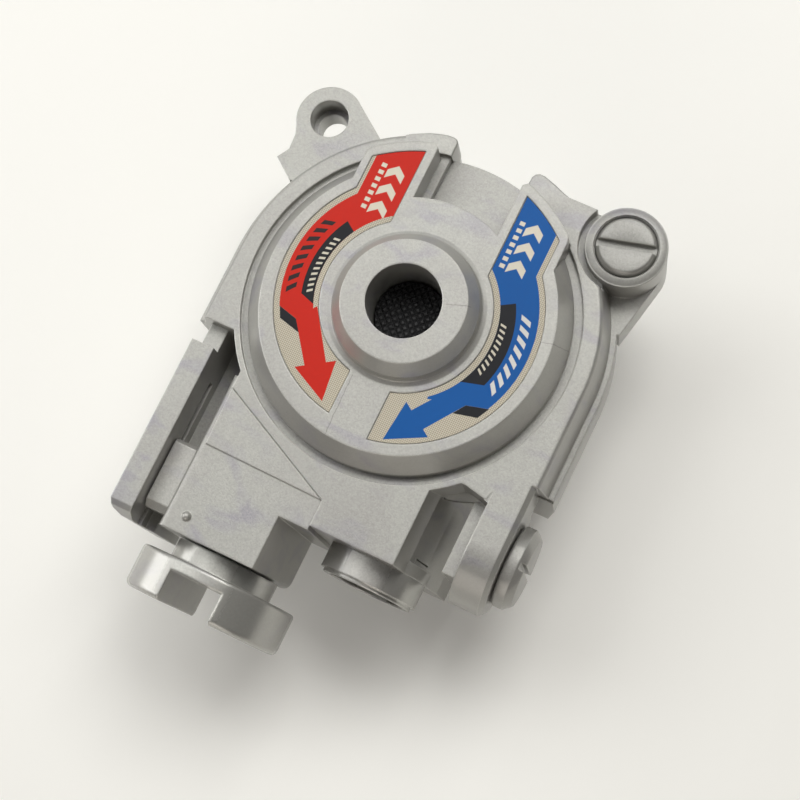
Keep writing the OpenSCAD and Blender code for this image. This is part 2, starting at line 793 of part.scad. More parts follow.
// Plan of one arm of the direction cover, reaching r; side is -1 for the red one
module arm_plan(inner, outer, r, side) {
    outer_y = sqrt(r * r - outer * outer);
    inner_y = sqrt(r * r - inner * inner);
    intersection() {
        circle(r);
        polygon([[side * inner, 0], [side * outer, 0], [side * outer, outer_y - arm_corner],
            [side * (outer - arm_corner / 2), outer_y + arm_corner], [side * (outer - arm_corner / 2), r],
            [side * (inner + arm_corner), r], [side * (inner + arm_corner), inner_y - arm_corner / 4],
            [side * inner, inner_y - arm_corner]]);
    }
}

// Plan of one label, whose band has its middle at the given point, grown by the gap round it in its seat
module label_plan(at, r, inner, outer, end, side, grow) {
    arm_in = inner + label_rim;
    arm_out = outer - label_side_rim;
    intersection() {
        difference() {
            union() {
                translate(at) circle(r + grow);
                intersection() {
                    circle(label_reach + grow);
                    translate([side > 0 ? arm_in - grow : -arm_out - grow, 0])
                        square([arm_out - arm_in + 2 * grow, arm_r]);
                }
            }
            translate(at) circle(label_in_r - grow);
        }
        polygon([[side * (end - grow), 0], [side * (end - grow), -arm_r], [side * arm_r, -arm_r],
            [side * arm_r, arm_r], [side * (arm_in - grow), arm_r], [side * (arm_in - grow), 0]]);
    }
}

module red_plan(grow) {
    label_plan([-red_shift, red_shift], red_label_r, red_in, red_out, red_end, -1, grow);
}

module blue_plan(grow) {
    label_plan([0, 0], blue_label_r, blue_in, blue_out, blue_end, 1, grow);
}

module direction_cover() {
    color([0.76, 0.76, 0.75]) difference() {
        union() {
            difference() {
                at_face() rotate_extrude($fn = 180) polygon([[eye_r, -spigot_d], [hub_r, -spigot_d],
                    [hub_r, -seat_d], [disc_r, -seat_d], [disc_r, disc_edge_h], [disc_top_r, disc_h],
                    [hub_foot_r, disc_h], [hub_r + hub_fillet * 0.3, disc_h + hub_fillet * 0.3],
                    [hub_r, disc_h + hub_fillet], [hub_r, hub_h - hub_bevel_h], [hub_top_r, hub_h],
                    [eye_r, hub_h]]);
                mouth_zone(land_r, red_in, blue_in, -hub_h, body_t);
            }
            slab(-disc_h, seat_d) arm_plan(red_in, red_out, arm_r, -1);
            slab(-disc_h, seat_d) arm_plan(blue_in, blue_out, arm_r, 1);
        }
        // Hollow underside
        difference() {
            ring(disc_top_r - wall, hub_foot_r, wall - disc_h, seat_d + over);
            mouth_zone(land_r - wall, red_in + wall, blue_in + wall, -hub_h, body_t);
        }
        // Seats of the labels
        slab(-disc_h - over, label_sink - disc_h) {
            red_plan(label_gap);
            blue_plan(label_gap);
        }
    }
}

module red_label() {
    color([0.8, 0.22, 0.14]) slab(label_sink - label_t - disc_h, label_sink - disc_h) red_plan(0);
}

module blue_label() {
    color([0.08, 0.33, 0.62]) slab(label_sink - label_t - disc_h, label_sink - disc_h) blue_plan(0);
}

module rotor_pad() {
    color([0.08, 0.08, 0.09]) difference() {
        drum(pad_r, pad_d, pad_d + pad_t);
        drum(spindle_r + fit_gap, spindle_top, pad_d + pad_t + over);
        for (turn = [45, 135], i = [-knurl_rows : knurl_rows])
            translate([0, 0, face_z - pad_d]) rotate([0, 0, turn]) translate([i * knurl_pitch, 0, 0])
                rotate([0, 45, 0])
                cube([knurl_d * diagonal_share, 3 * pad_r, knurl_d * diagonal_share], center = true);
    }
}

module spindle() {
    color([0.75, 0.76, 0.78]) difference() {
        drum(spindle_r, spindle_top, spindle_end);
        // Flat that keys the rotor hub, hole of the cross pin and hole of the hub screw
        block(spindle_flat, spindle_r + over, -spindle_r - over, spindle_r + over, body_t - wall,
            spindle_end + over);
        translate([0, 0, face_z - path_d]) rotate([90, 0, 0])
            cylinder(r = gear_pin_r + fit_gap, h = 3 * spindle_r, center = true);
        drum(hub_screw_r + fit_gap, hub_screw_top - clear, spindle_end + over);
    }
}

module front_bush() {
    color([0.85, 0.85, 0.8]) difference() {
        union() {
            drum(bush_r, seam_d - cup_t, front_bush_end);
            drum(bush_flange_r, seam_d - cup_t - bush_flange_t, seam_d - cup_t);
        }
        drum(spindle_r + run_gap, 0, seam_d + 2 * over);
    }
}

module back_bush() {
    color([0.85, 0.85, 0.8]) difference() {
        union() {
            drum(bush_flange_r, back_bush_top, back_boss_top);
            drum(bush_r, back_boss_top, body_t);
        }
        drum(spindle_r + run_gap, 0, body_t + over);
    }
}

module front_washer() {
    color([0.7, 0.71, 0.73]) ring(washer_r, spindle_r + fit_gap, gear_top - washer_t, gear_top);
}

module back_washer() {
    color([0.7, 0.71, 0.73]) ring(washer_r, spindle_r + fit_gap, gear_bottom, back_washer_end);
}

module drive_gear() {
    step = 360 / gear_teeth;
    color([0.93, 0.92, 0.88]) difference() {
        slab(gear_top, gear_bottom) union() {
            circle(gear_root_r);
            for (i = [0 : gear_teeth - 1]) rotate(i * step) polygon([for (p = tooth_shares)
                [gear_root_r + (gear_tip_r - gear_root_r) * p[0], gear_root_r * p[1] / gear_teeth]]);
        }
        drum(spindle_r + fit_gap, gear_top - over, gear_bottom + over);
        ring(gear_root_r - gear_rim, washer_r, gear_top - over, gear_top + gear_web_d);
        ring(gear_root_r - gear_rim, washer_r, gear_bottom - gear_web_d, gear_bottom + over);
        translate([0, 0, face_z - path_d]) rotate([90, 0, 0])
            cylinder(r = gear_pin_r + fit_gap, h = 3 * gear_tip_r, center = true);
    }
}

module gear_pin() {
    color([0.7, 0.71, 0.73]) translate([0, 0, face_z - path_d]) rotate([90, 0, 0])
        cylinder(r = gear_pin_r, h = 2 * (gear_root_r - clear), center = true);
}

module rotor_hub() {
    color([0.1, 0.1, 0.11]) difference() {
        union() {
            drum(rotor_r - rotor_bevel, rotor_top, rotor_bottom);
            drum(rotor_r, rotor_top, rotor_bottom - rotor_bevel);
        }
        difference() {
            drum(spindle_r + fit_gap, rotor_top - over, spindle_end + fit_gap);
            block(spindle_flat + fit_gap, 2 * spindle_r, -2 * spindle_r, 2 * spindle_r, rotor_top - 2 * over,
                rotor_bottom);
        }
        drum(hub_screw_r + fit_gap, rotor_top, rotor_bottom + over);
        ring(rotor_r - rotor_rim, spindle_r + rotor_boss, rotor_top - over, rotor_top + wall);
    }
}

module prong_plate() {
    color([0.78, 0.79, 0.8]) difference() {
        union() {
            intersection() {
                drum(prong_r, rotor_bottom, plate_bottom);
                block(-prong_r, prong_r, -prong_w / 2 - prong_foot, prong_w / 2 + prong_foot,
                    rotor_bottom - over, plate_bottom + over);
            }
            for (turn = [0, 180]) rotate([0, 0, turn]) {
                intersection() {
                    ring(prong_r, prong_r - prong_t, rotor_bottom, prong_end);
                    block(0, prong_r, -prong_w / 2, prong_w / 2, rotor_bottom - over, prong_end + over);
                }
                intersection() {
                    ring(prong_r, prong_r - 2 * prong_t, prong_end - prong_hook, prong_end);
                    block(0, prong_r, prong_w / 2 - over, prong_w / 2 + wall, rotor_bottom, prong_end + over);
                }
            }
        }
        drum(hub_screw_r + fit_gap, rotor_bottom - over, plate_bottom + over);
    }
}

module hub_screw() {
    color([0.6, 0.61, 0.63]) difference() {
        union() {
            drum(hub_screw_head_r, plate_bottom, plate_bottom + hub_screw_head_t);
            drum(hub_screw_r, hub_screw_top, plate_bottom);
        }
        cross_recess(plate_bottom + hub_screw_head_t);
    }
}

// Cross recess in a screw head that faces down at the given depth
module cross_recess(end) {
    for (turn = [0, 90]) rotate([0, 0, turn])
        block(-recess_l / 2, recess_l / 2, -recess_w / 2, recess_w / 2, end - recess_d, end + over);
}

module case_screws() {
    color([0.6, 0.61, 0.63]) at_screws() difference() {
        union() {
            drum(screw_head_r, screw_seat_d, screw_seat_d + screw_head_t);
            drum(screw_r, screw_tip_d + clear, screw_seat_d);
        }
        cross_recess(screw_seat_d + screw_head_t);
    }
}

module guide_plate(side) {
    x0 = side > 0 ? guide_x : -guide_x - guide_t;
    difference() {
        block(x0, x0 + guide_t, guide_end - guide_l, guide_end, seam_d + clear, floor_d);
        block(x0 - over, x0 + guide_t + over, guide_end - guide_l / 2 - guide_l / 4, guide_end - guide_l / 4,
            path_d + path_h, floor_d - guide_t);
    }
}

module guide_left() {
    color([0.5, 0.52, 0.55]) guide_plate(-1);
}

module guide_right() {
    color([0.5, 0.52, 0.55]) guide_plate(1);
}

// Disc of the coupling as a profile turned about Y, with rounded edges
module coupling_disc(y_end, y_plate) {
    translate([-coupling_x, 0, face_z - path_d]) rotate([90, 0, 0]) rotate_extrude($fn = 128)
        polygon(concat([[0, -y_plate], [0, -y_end]], soft_corner(coupling_r, -y_end, soft_edge, 1, -1),
            [for (i = [len(corner_shares) - 1 : -1 : 0])
                [coupling_r - soft_edge / 2 * (1 - corner_shares[i][0]),
                -y_plate + soft_edge / 2 * (1 - corner_shares[i][1])]]));
}

module coupling_foot() {
    y_neck = -box_front - slide_gap;
    y_plate = y_neck - neck_l;
    y_jaw = y_plate - plate_t;
    y_end = y_jaw - jaw_l;
    color([0.73, 0.73, 0.72]) difference() {
        union() {
            y_drum(-coupling_x, coupling_groove_r, y_neck - over, -journal_back);
            y_drum(-coupling_x, journal_r, y_neck - over, clip_y);
            y_drum(-coupling_x, journal_r, clip_y + coupling_clip_t + 2 * run_gap, -journal_back);
            y_drum(-coupling_x, neck_r, y_plate - over, y_neck);
            coupling_disc(y_end, y_plate);
        }
        translate([-coupling_x - slot_w / 2, y_end - over, 0]) cube([slot_w, jaw_l + over, 2 * face_z]);
        y_drum(-coupling_x, coupling_bore_r, y_end - over, over - journal_back);
    }
}

module coupling_clip() {
    color([0.65, 0.66, 0.68]) difference() {
        y_drum(-coupling_x, coupling_clip_r, clip_y + run_gap, clip_y + run_gap + coupling_clip_t);
        y_drum(-coupling_x, coupling_groove_r + fit_gap, clip_y - over, clip_y + coupling_clip_t + 2 * over);
        translate([-coupling_x - clip_mouth / 2, clip_y - over, face_z - path_d])
            cube([clip_mouth, coupling_clip_t + 3 * over, 2 * journal_r]);
    }
}

module exit_sleeve() {
    y_end = -block_front - socket_l;
    color([0.74, 0.74, 0.73]) difference() {
        union() {
            y_drum(socket_x, socket_r, y_end + sleeve_bevel, -block_front);
            y_drum(socket_x, socket_r - sleeve_bevel, y_end, -block_front);
            y_drum(socket_x, sleeve_spigot_r, -block_front - over, -block_front + wall);
        }
        y_drum(socket_x, socket_bore_r, y_end - over, -block_front + wall + over);
    }
}

module slide_lock() {
    x0 = slide_gap - rail_in;
    x1 = -box_left - slide_gap;
    y0 = lock_setback - box_front;
    y1 = y0 + lock_l;
    side = [[y0, -lock_d - lock_bevel], [y0 + lock_bevel, -lock_d], [y1 - lock_bevel / 2, -lock_d],
        [y1, -lock_d - lock_bevel / 2], [y1, slide_gap - channel_d], [y0, slide_gap - channel_d]];
    color([0.7, 0.7, 0.69]) {
        at_face() translate([x0, 0, 0]) rotate([90, 0, 90]) linear_extrude(x1 - x0) polygon(side);
        block(x0 - tongue_w, x1 + tongue_w, y0, y1, tongue_top_d, tongue_top_d + tongue_t);
    }
}

module lock_screw() {
    color([0.72, 0.72, 0.72]) translate([boss_at[0], boss_at[1], 0]) {
        difference() {
            drum(lock_head_r, lock_head_top, boss_sink_d - run_gap);
            rotate([0, 0, 12]) block(-2 * lock_head_r, 2 * lock_head_r, -lock_slot_w / 2, lock_slot_w / 2,
                -over, lock_head_top + lock_slot_d);
        }
        drum(lock_shank_r, boss_sink_d - over, boss_depth + clear + lock_foot_t / 2);
        rotate([0, 0, 12]) block(-lock_foot_l / 2, lock_foot_l / 2, -lock_foot_w / 2, lock_foot_w / 2,
            boss_depth + clear, boss_depth + clear + lock_foot_t);
    }
}

module pivot_screw() {
    collar_x = lug_right + slide_gap;
    head_x = collar_x + pivot_collar_t;
    clip_x = nut_left + pivot_pocket_d - run_gap - pivot_clip_t;
    color([0.72, 0.72, 0.72]) difference() {
        union() {
            x_drum(pivot_r, clip_x + pivot_clip_t, collar_x + over);
            x_drum(pivot_groove_r, clip_x - over / 4, clip_x + pivot_clip_t + over);
            x_drum(pivot_r, nut_left + run_gap, clip_x);
            x_drum(pivot_collar_r, collar_x, head_x);
            x_drum(pivot_head_r, head_x, head_x + pivot_head_t);
        }
        block(head_x + pivot_head_t - pivot_slot_d, head_x + pivot_head_t + over, -pivot_y - pivot_slot_w / 2,
            -pivot_y + pivot_slot_w / 2, -2 * lug_r, 4 * lug_r);
    }
}

module pivot_nut() {
    color([0.7, 0.7, 0.7]) difference() {
        block(nut_left, lug_left, nut_y0, nut_y1, nut_top, nut_bottom);
        x_drum(pivot_r + run_gap, nut_left - over, lug_left + over);
        x_drum(pivot_clip_r + clear, nut_left - over, nut_left + pivot_pocket_d);
    }
}

module pivot_clip() {
    clip_x = nut_left + pivot_pocket_d - run_gap - pivot_clip_t;
    color([0.65, 0.66, 0.68]) difference() {
        x_drum(pivot_clip_r, clip_x + run_gap / 2, clip_x + pivot_clip_t - run_gap / 2);
        x_drum(pivot_groove_r + fit_gap, clip_x - over, clip_x + pivot_clip_t + over);
        block(clip_x - over, clip_x + pivot_clip_t + over, -pivot_y - pivot_groove_r,
            -pivot_y + pivot_groove_r, pivot_d, pivot_d + 2 * lug_r);
    }
}

front_shell();
back_shell();
direction_cover();
red_label();
blue_label();
rotor_pad();
spindle();
front_bush();
front_washer();
drive_gear();
gear_pin();
back_washer();
back_bush();
rotor_hub();
prong_plate();
hub_screw();
guide_left();
guide_right();
coupling_foot();
coupling_clip();
exit_sleeve();
slide_lock();
lock_screw();
pivot_screw();
pivot_nut();
pivot_clip();
case_screws();
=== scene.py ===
"""Spinning top launcher: finishes, printed labels, light and camera round its solids."""

import logging
import math
from collections.abc import Callable
from dataclasses import dataclass
from enum import Enum

import bpy
from mathutils import Matrix, Vector

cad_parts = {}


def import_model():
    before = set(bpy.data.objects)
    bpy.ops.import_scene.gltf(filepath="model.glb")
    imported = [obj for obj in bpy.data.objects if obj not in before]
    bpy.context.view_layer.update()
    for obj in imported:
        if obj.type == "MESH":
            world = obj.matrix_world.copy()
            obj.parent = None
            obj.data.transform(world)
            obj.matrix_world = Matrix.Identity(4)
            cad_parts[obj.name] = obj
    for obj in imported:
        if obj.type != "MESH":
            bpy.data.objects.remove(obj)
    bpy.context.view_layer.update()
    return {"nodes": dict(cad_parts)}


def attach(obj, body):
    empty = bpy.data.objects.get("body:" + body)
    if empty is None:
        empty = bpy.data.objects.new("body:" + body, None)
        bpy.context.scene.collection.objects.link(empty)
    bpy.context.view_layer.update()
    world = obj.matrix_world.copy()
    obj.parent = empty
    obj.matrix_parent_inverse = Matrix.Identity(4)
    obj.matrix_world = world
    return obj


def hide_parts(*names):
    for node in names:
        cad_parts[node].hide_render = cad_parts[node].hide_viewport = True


MM = 0.001
SHELL_TONE = 0.95
LOCK_AXIS = (25.5, 23.2)
LOG = logging.getLogger("launcher")
Point = tuple[float, float]
Spot = tuple[float, float, float]
Colour = tuple[float, float, float]
Piece = bpy.types.Object
Finish = bpy.types.Material
Values = dict[object, object]


def linear(red: float, green: float, blue: float) -> Colour:
    """Turns a screen colour into the linear values that shaders use.

    Args:
        red, green, blue: The colour's values from 0 to 255.

    Returns:
        The three linear values.
    """
    values = [v / 255 for v in (red, green, blue)]
    return tuple(v / 12.92 if v <= 0.04045 else ((v + 0.055) / 1.055) ** 2.4 for v in values)


SILVER = linear(169, 169, 164)
SILVER_DARK = linear(163, 162, 158)
LAVENDER = linear(147, 145, 154)


class Wire:
    """An output of a shader node that can be used in sums, as in 1 - mask."""

    def __init__(self, graph: "Tree", socket: bpy.types.NodeSocket) -> None:
        """Keeps the tree of nodes and the output socket."""
        self.graph = graph
        self.socket = socket

    def _sum(self, operation: str, *values: object) -> "Wire":
        """Adds one Math node.

        Args:
            operation: Blender's name of the operation.
            values: Numbers or wires, in the order of the node's sockets.

        Returns:
            The node's result.
        """
        return self.graph.add("ShaderNodeMath", {"operation": operation}, dict(enumerate(values)))

    def __add__(self, other: object) -> "Wire":
        """Sum."""
        return self._sum("ADD", self, other)

    __radd__ = __add__

    def __sub__(self, other: object) -> "Wire":
        """Difference."""
        return self._sum("SUBTRACT", self, other)

    def __rsub__(self, other: object) -> "Wire":
        """Difference with the wire last."""
        return self._sum("SUBTRACT", other, self)

    def __mul__(self, other: object) -> "Wire":
        """Product."""
        return self._sum("MULTIPLY", self, other)

    def __truediv__(self, other: object) -> "Wire":
        """Quotient."""
        return self._sum("DIVIDE", self, other)

    def __pow__(self, other: object) -> "Wire":
        """Power."""
        return self._sum("POWER", self, other)

    def __abs__(self) -> "Wire":
        """Size without its sign."""
        return self._sum("ABSOLUTE", self)

    def least(self, other: object) -> "Wire":
        """The smaller of two values."""
        return self._sum("MINIMUM", self, other)

    def most(self, other: object) -> "Wire":
        """The larger of two values."""
        return self._sum("MAXIMUM", self, other)

    def sine(self) -> "Wire":
        """Sine of an angle in radians."""
        return self._sum("SINE", self)

    def share(self) -> "Wire":
        """What is left after the whole number is taken off."""
        return self._sum("FRACT", self)

    def over(self, edge: float, soft: float) -> "Wire":
        """A mask that is 1 where the wire is above an edge.

        Args:
            edge: The value in the middle of the change.
            soft: How far the change reaches to each side.

        Returns:
            The mask, from 0 to 1.
        """
        return self.graph.add(
            "ShaderNodeMapRange",
            {"interpolation_type": "SMOOTHSTEP"},
            {"Value": self, "From Min": edge - soft, "From Max": edge + soft},
        )

    def between(self, low: float, high: float, soft: float) -> "Wire":
        """A mask that is 1 from low to high."""
        return self.over(low, soft) * (1 - self.over(high, soft))


class Tree:
    """A tree of shader nodes."""

    def __init__(self, tree: bpy.types.NodeTree) -> None:
        """Empties the tree.

        Args:
            tree: Blender's tree of a material or a world.
        """
        self.tree = tree
        self.tree.nodes.clear()

    def put(self, socket: bpy.types.NodeSocket, value: object) -> None:
        """Links a wire to a socket, or sets its number, vector or colour."""
        if isinstance(value, Wire):
            self.tree.links.new(value.socket, socket)
        elif socket.type == "RGBA":
            socket.default_value = (*value, 1)
        else:
            socket.default_value = value

    def node(self, kind: str, settings: Values, values: Values) -> bpy.types.Node:
        """Adds a node.

        Args:
            kind: Blender's type of the node.
            settings: Its own settings, which are made first.
            values: Numbers, vectors, colours or wires for its sockets, by name or place.

        Returns:
            The node.
        """
        made = self.tree.nodes.new(kind)
        for key, value in settings.items():
            setattr(made, key, value)
        for key, value in values.items():
            self.put(made.inputs[key], value)
        return made

    def out(self, node: bpy.types.Node, key: object = 0) -> Wire:
        """One of a node's outputs, by name or place."""
        return Wire(self, node.outputs[key])

    def add(self, kind: str, settings: Values, values: Values, key: object = 0) -> Wire:
        """Adds a node and gives one of its outputs, the first unless another is named."""
        return self.out(self.node(kind, settings, values), key)

    def dot(self, first: Wire, second: object) -> Wire:
        """Dot product of two vectors."""
        settings = {"operation": "DOT_PRODUCT"}
        return self.add("ShaderNodeVectorMath", settings, {0: first, 1: second}, "Value")


class Graph(Tree):
    """The node tree of one material, with its Principled shader."""

    def __init__(self, name: str) -> None:
        """Makes the material and its shader.

        Args:
            name: The material's name.
        """
        self.material = bpy.data.materials.new(name)
        self.material.use_nodes = True
        super().__init__(self.material.node_tree)
        self.shader = self.node("ShaderNodeBsdfPrincipled", {}, {})
        self.output = self.node("ShaderNodeOutputMaterial", {}, {"Surface": self.out(self.shader)})

    def place(self) -> Wire:
        """Object coordinates in millimetres."""
        return self.scaled(self.add("ShaderNodeTexCoord", {}, {}, "Object"), 1 / MM)

    def axes(self, where: Wire) -> tuple[Wire, Wire, Wire]:
        """The three parts of a vector."""
        node = self.node("ShaderNodeSeparateXYZ", {}, {0: where})
        return tuple(self.out(node, key) for key in range(3))

    def stretched(self, where: Wire, scale: Spot, turn: float = 0.0) -> Wire:
        """Coordinates turned about Z and stretched, for a pattern with a direction."""
        settings = {"vector_type": "POINT"}
        values = {"Vector": where, "Rotation": (0.0, 0.0, math.radians(turn)), "Scale": scale}
        return self.add("ShaderNodeMapping", settings, values)

    def noise(
        self, where: Wire, scale: float, detail: float = 2.0, rough: float = 0.5, warp: float = 0.0,
    ) -> Wire:
        """Cloudy noise from 0 to 1.

        Args:
            where: Coordinates.
            scale: How many clouds to a millimetre.
            detail: Octaves.
            rough: How strong the finer octaves are.
            warp: Distortion.

        Returns:
            The noise value.
        """
        values = {"Vector": where, "Scale": scale, "Detail": detail, "Roughness": rough}
        return self.add("ShaderNodeTexNoise", {}, {**values, "Distortion": warp})

    def grains(self, where: Wire, scale: float) -> Wire:
        """A value from 0 to 1 for each small cell."""
        values = {"Vector": where, "Scale": scale}
        cells = self.add("ShaderNodeTexVoronoi", {"feature": "F1"}, values, "Color")
        return self.add("ShaderNodeSeparateColor", {}, {0: cells})

    def blend(self, mask: Wire, low: object, high: object) -> Wire:
        """Mixes two colours.

        Args:
            mask: 0 gives low, 1 gives high.
            low: A colour or a wire.
            high: A colour or a wire.

        Returns:
            The mixed colour.
        """
        return self.add("ShaderNodeMix", {"data_type": "RGBA"}, {0: mask, 6: low, 7: high}, 2)

    def scaled(self, vector: Wire, factor: object) -> Wire:
        """A vector or a colour times a factor."""
        values = {0: vector, "Scale": factor}
        return self.add("ShaderNodeVectorMath", {"operation": "SCALE"}, values)

    def soft_edges(self, radius: float) -> Wire:
        """Normals that are rounded at the edges, with a radius in millimetres."""
        return self.add("ShaderNodeBevel", {"samples": 6}, {"Radius": radius * MM})

    def relief(self, height: Wire, depth: float, normal: Wire) -> Wire:
        """Bump.

        Args:
            height: Height from 0 to 1.
            depth: What 1 stands for, in millimetres.
            normal: Normals to start from.

        Returns:
            The new normals.
        """
        values = {"Height": height, "Distance": depth * MM, "Strength": 1.0, "Normal": normal}
        return self.add("ShaderNodeBump", {}, values)

    def feed(self, **values: object) -> None:
        """Sets sockets of the shader; words are joined by an underscore."""
        for key, value in values.items():
            name = key.replace("_", " ").title().replace("Ior", "IOR")
            self.put(self.shader.inputs[name], value)


@dataclass(frozen=True)
class SilverPlastic:
    """Plastic with fine metal flake, with faint flow streaks and moulded edges that carry a painted
    highlight.

    Attributes:
        name: Material name.
        tone: Brightness against the plain colour.
        streak: Strength of the lavender flow streaks.
        turn: Direction of the streaks, in degrees.
        edge: Radius of the soft edges, in millimetres.
        metallic: Share of the metal flake in the shine.
        rough: Roughness of the smooth faces.
        painted_edge_highlight: How much lighter the edges are painted, a painted highlight standing
            in for their glints.
        knit_lines: Ends of fine lines where the plastic met itself, in millimetres.
        flakes: Metal flakes to a millimetre.
        clouds: Clouds of the moulded texture to a millimetre.
        depth: Depth of that texture, in millimetres.
        level: How square to the rotor's axis a face has to be to show it.
        bend: How near the soft normal is to the flat one where an edge starts.
    """

    name: str
    tone: float = 1.0
    streak: float = 0.5
    turn: float = 20.0
    edge: float = 0.38
    metallic: float = 0.38
    rough: float = 0.26
    painted_edge_highlight: float = 0.6
    knit_lines: tuple[tuple[Point, Point], ...] = ()
    flakes: float = 4.6
    clouds: float = 2.4
    depth: float = 0.014
    level: float = 0.93
    bend: float = 0.92

    def build(self) -> Finish:
        """Makes the material."""
        g = Graph(self.name)
        at = g.place()
        soft = g.soft_edges(self.edge)
        turned = {"vector_type": "NORMAL", "convert_from": "WORLD", "convert_to": "OBJECT"}
        _, _, facing = g.axes(g.add("ShaderNodeVectorTransform", turned, {0: soft}))
        textured = abs(facing).over(self.level, 0.04)
        flat = g.add("ShaderNodeNewGeometry", {}, {}, "True Normal")
        # Painted highlight: the colour is lightened and the roughness lowered where the rounded
        # edge normals turn away from the flat ones
        painted_edge_highlight = 1 - g.dot(soft, flat).over(self.bend, 0.07)
        grain = g.grains(at, self.flakes)
        cloud = g.noise(at, self.clouds, 3, 0.7)
        spark = ((grain - 0.5) * 0.16 + (cloud - 0.5) * 0.3) * (0.35 + textured * 0.65)
        factor = self._knit(g, at, (1.0 + spark) * self.tone * (1 + painted_edge_highlight * self.painted_edge_highlight))
        g.feed(base_color=g.scaled(self._tint(g, at), factor))
        rough = self.rough + textured * (1 - painted_edge_highlight * 0.6) * 0.2 + cloud * 0.06
        g.feed(metallic=self.metallic, roughness=rough)
        height = grain * 0.35 * textured + cloud * (0.08 + textured * 0.92)
        g.feed(normal=g.relief(height, self.depth, soft))
        return g.material

    def _tint(self, g: Graph, at: Wire) -> Wire:
        """Colour of the plastic, with slow changes of tone and faint flow streaks."""
        drift = g.noise(at, 0.05, 3, 0.6, 0.8)
        flow = g.noise(g.stretched(at, (0.45, 1.0, 0.6), self.turn), 0.2, 2, 0.5, 1.2)
        streaks = flow.over(0.59, 0.11) * g.noise(at, 0.09, 1).over(0.46, 0.16)
        colour = g.blend(drift.over(0.52, 0.2), SILVER, SILVER_DARK)
        return g.blend(streaks * self.streak, colour, LAVENDER)

    def _knit(self, g: Graph, at: Wire, factor: Wire) -> Wire:
        """Darkens a brightness on the fine lines where the plastic met itself."""
        x, y, _ = g.axes(at)
        for (x0, y0), (x1, y1) in self.knit_lines:
            length = math.hypot(x1 - x0, y1 - y0)
            ux, uy = (x1 - x0) / length, (y1 - y0) / length
            along = (x - x0) * ux + (y - y0) * uy
            wander = (g.noise(at, 0.8, 2) - 0.5) * 0.4
            across = (y - y0) * ux - (x - x0) * uy + wander
            line = (1 - abs(across).over(0.07, 0.05)) * along.between(0, length, 0.2)
            factor = factor * (1 - line * 0.3)
        return factor


class Side(Enum):
    """Which printed label it is, with the sign of its side of the axis."""

    RED = -1
    BLUE = 1


class Drawing:
    """Masks with straight and round edges, drawn across a face that looks along Z."""

    def __init__(self, g: Graph, at: Wire, middle: Point) -> None:
        """Splits the coordinates and counts the radius from a middle."""
        self.g = g
        self.x, self.y, _ = g.axes(at)
        self.radius = self.reach(middle)
        self.flat = g.add("ShaderNodeCombineXYZ", {}, {0: self.x, 1: self.y, 2: 1.0})

    def half(self, first: Point, second: Point, inside: Point) -> Wire:
        """Distance from the line through two points, positive on the side of a third."""
        a, b = second[1] - first[1], first[0] - second[0]
        size = math.hypot(a, b)
        c = -(a * first[0] + b * first[1])
        sign = 1 if a * inside[0] + b * inside[1] + c > 0 else -1
        return self.g.dot(self.flat, (sign * a / size, sign * b / size, sign * c / size))

    def patch(self, points: tuple[Point, ...]) -> Wire:
        """Distance inside a convex outline, negative outside of it."""
        inside = (sum(p[0] for p in points) / len(points), sum(p[1] for p in points) / len(points))
        edges = [self.half(*ends, inside) for ends in zip(points, points[1:] + points[:1])]
        result = edges[0]
        for edge in edges[1:]:
            result = result.least(edge)
        return result

    def reach(self, middle: Point) -> Wire:
        """Distance from a point."""
        return ((self.x - middle[0]) ** 2 + (self.y - middle[1]) ** 2) ** 0.5

    @staticmethod
    def row(steps: Wire, first: float, last: float, shown: Spot) -> Wire:
        """Equal marks one after another.

        Args:
            steps: A wire that grows by 1 from mark to mark.
            first: Where on that wire the row starts, a whole number.
            last: Where it ends.
            shown: Where in each step the mark starts and ends, and how soft its ends are.

        Returns:
            The mask of the marks.
        """
        return steps.share().between(*shown) * steps.between(first, last, 0.01)


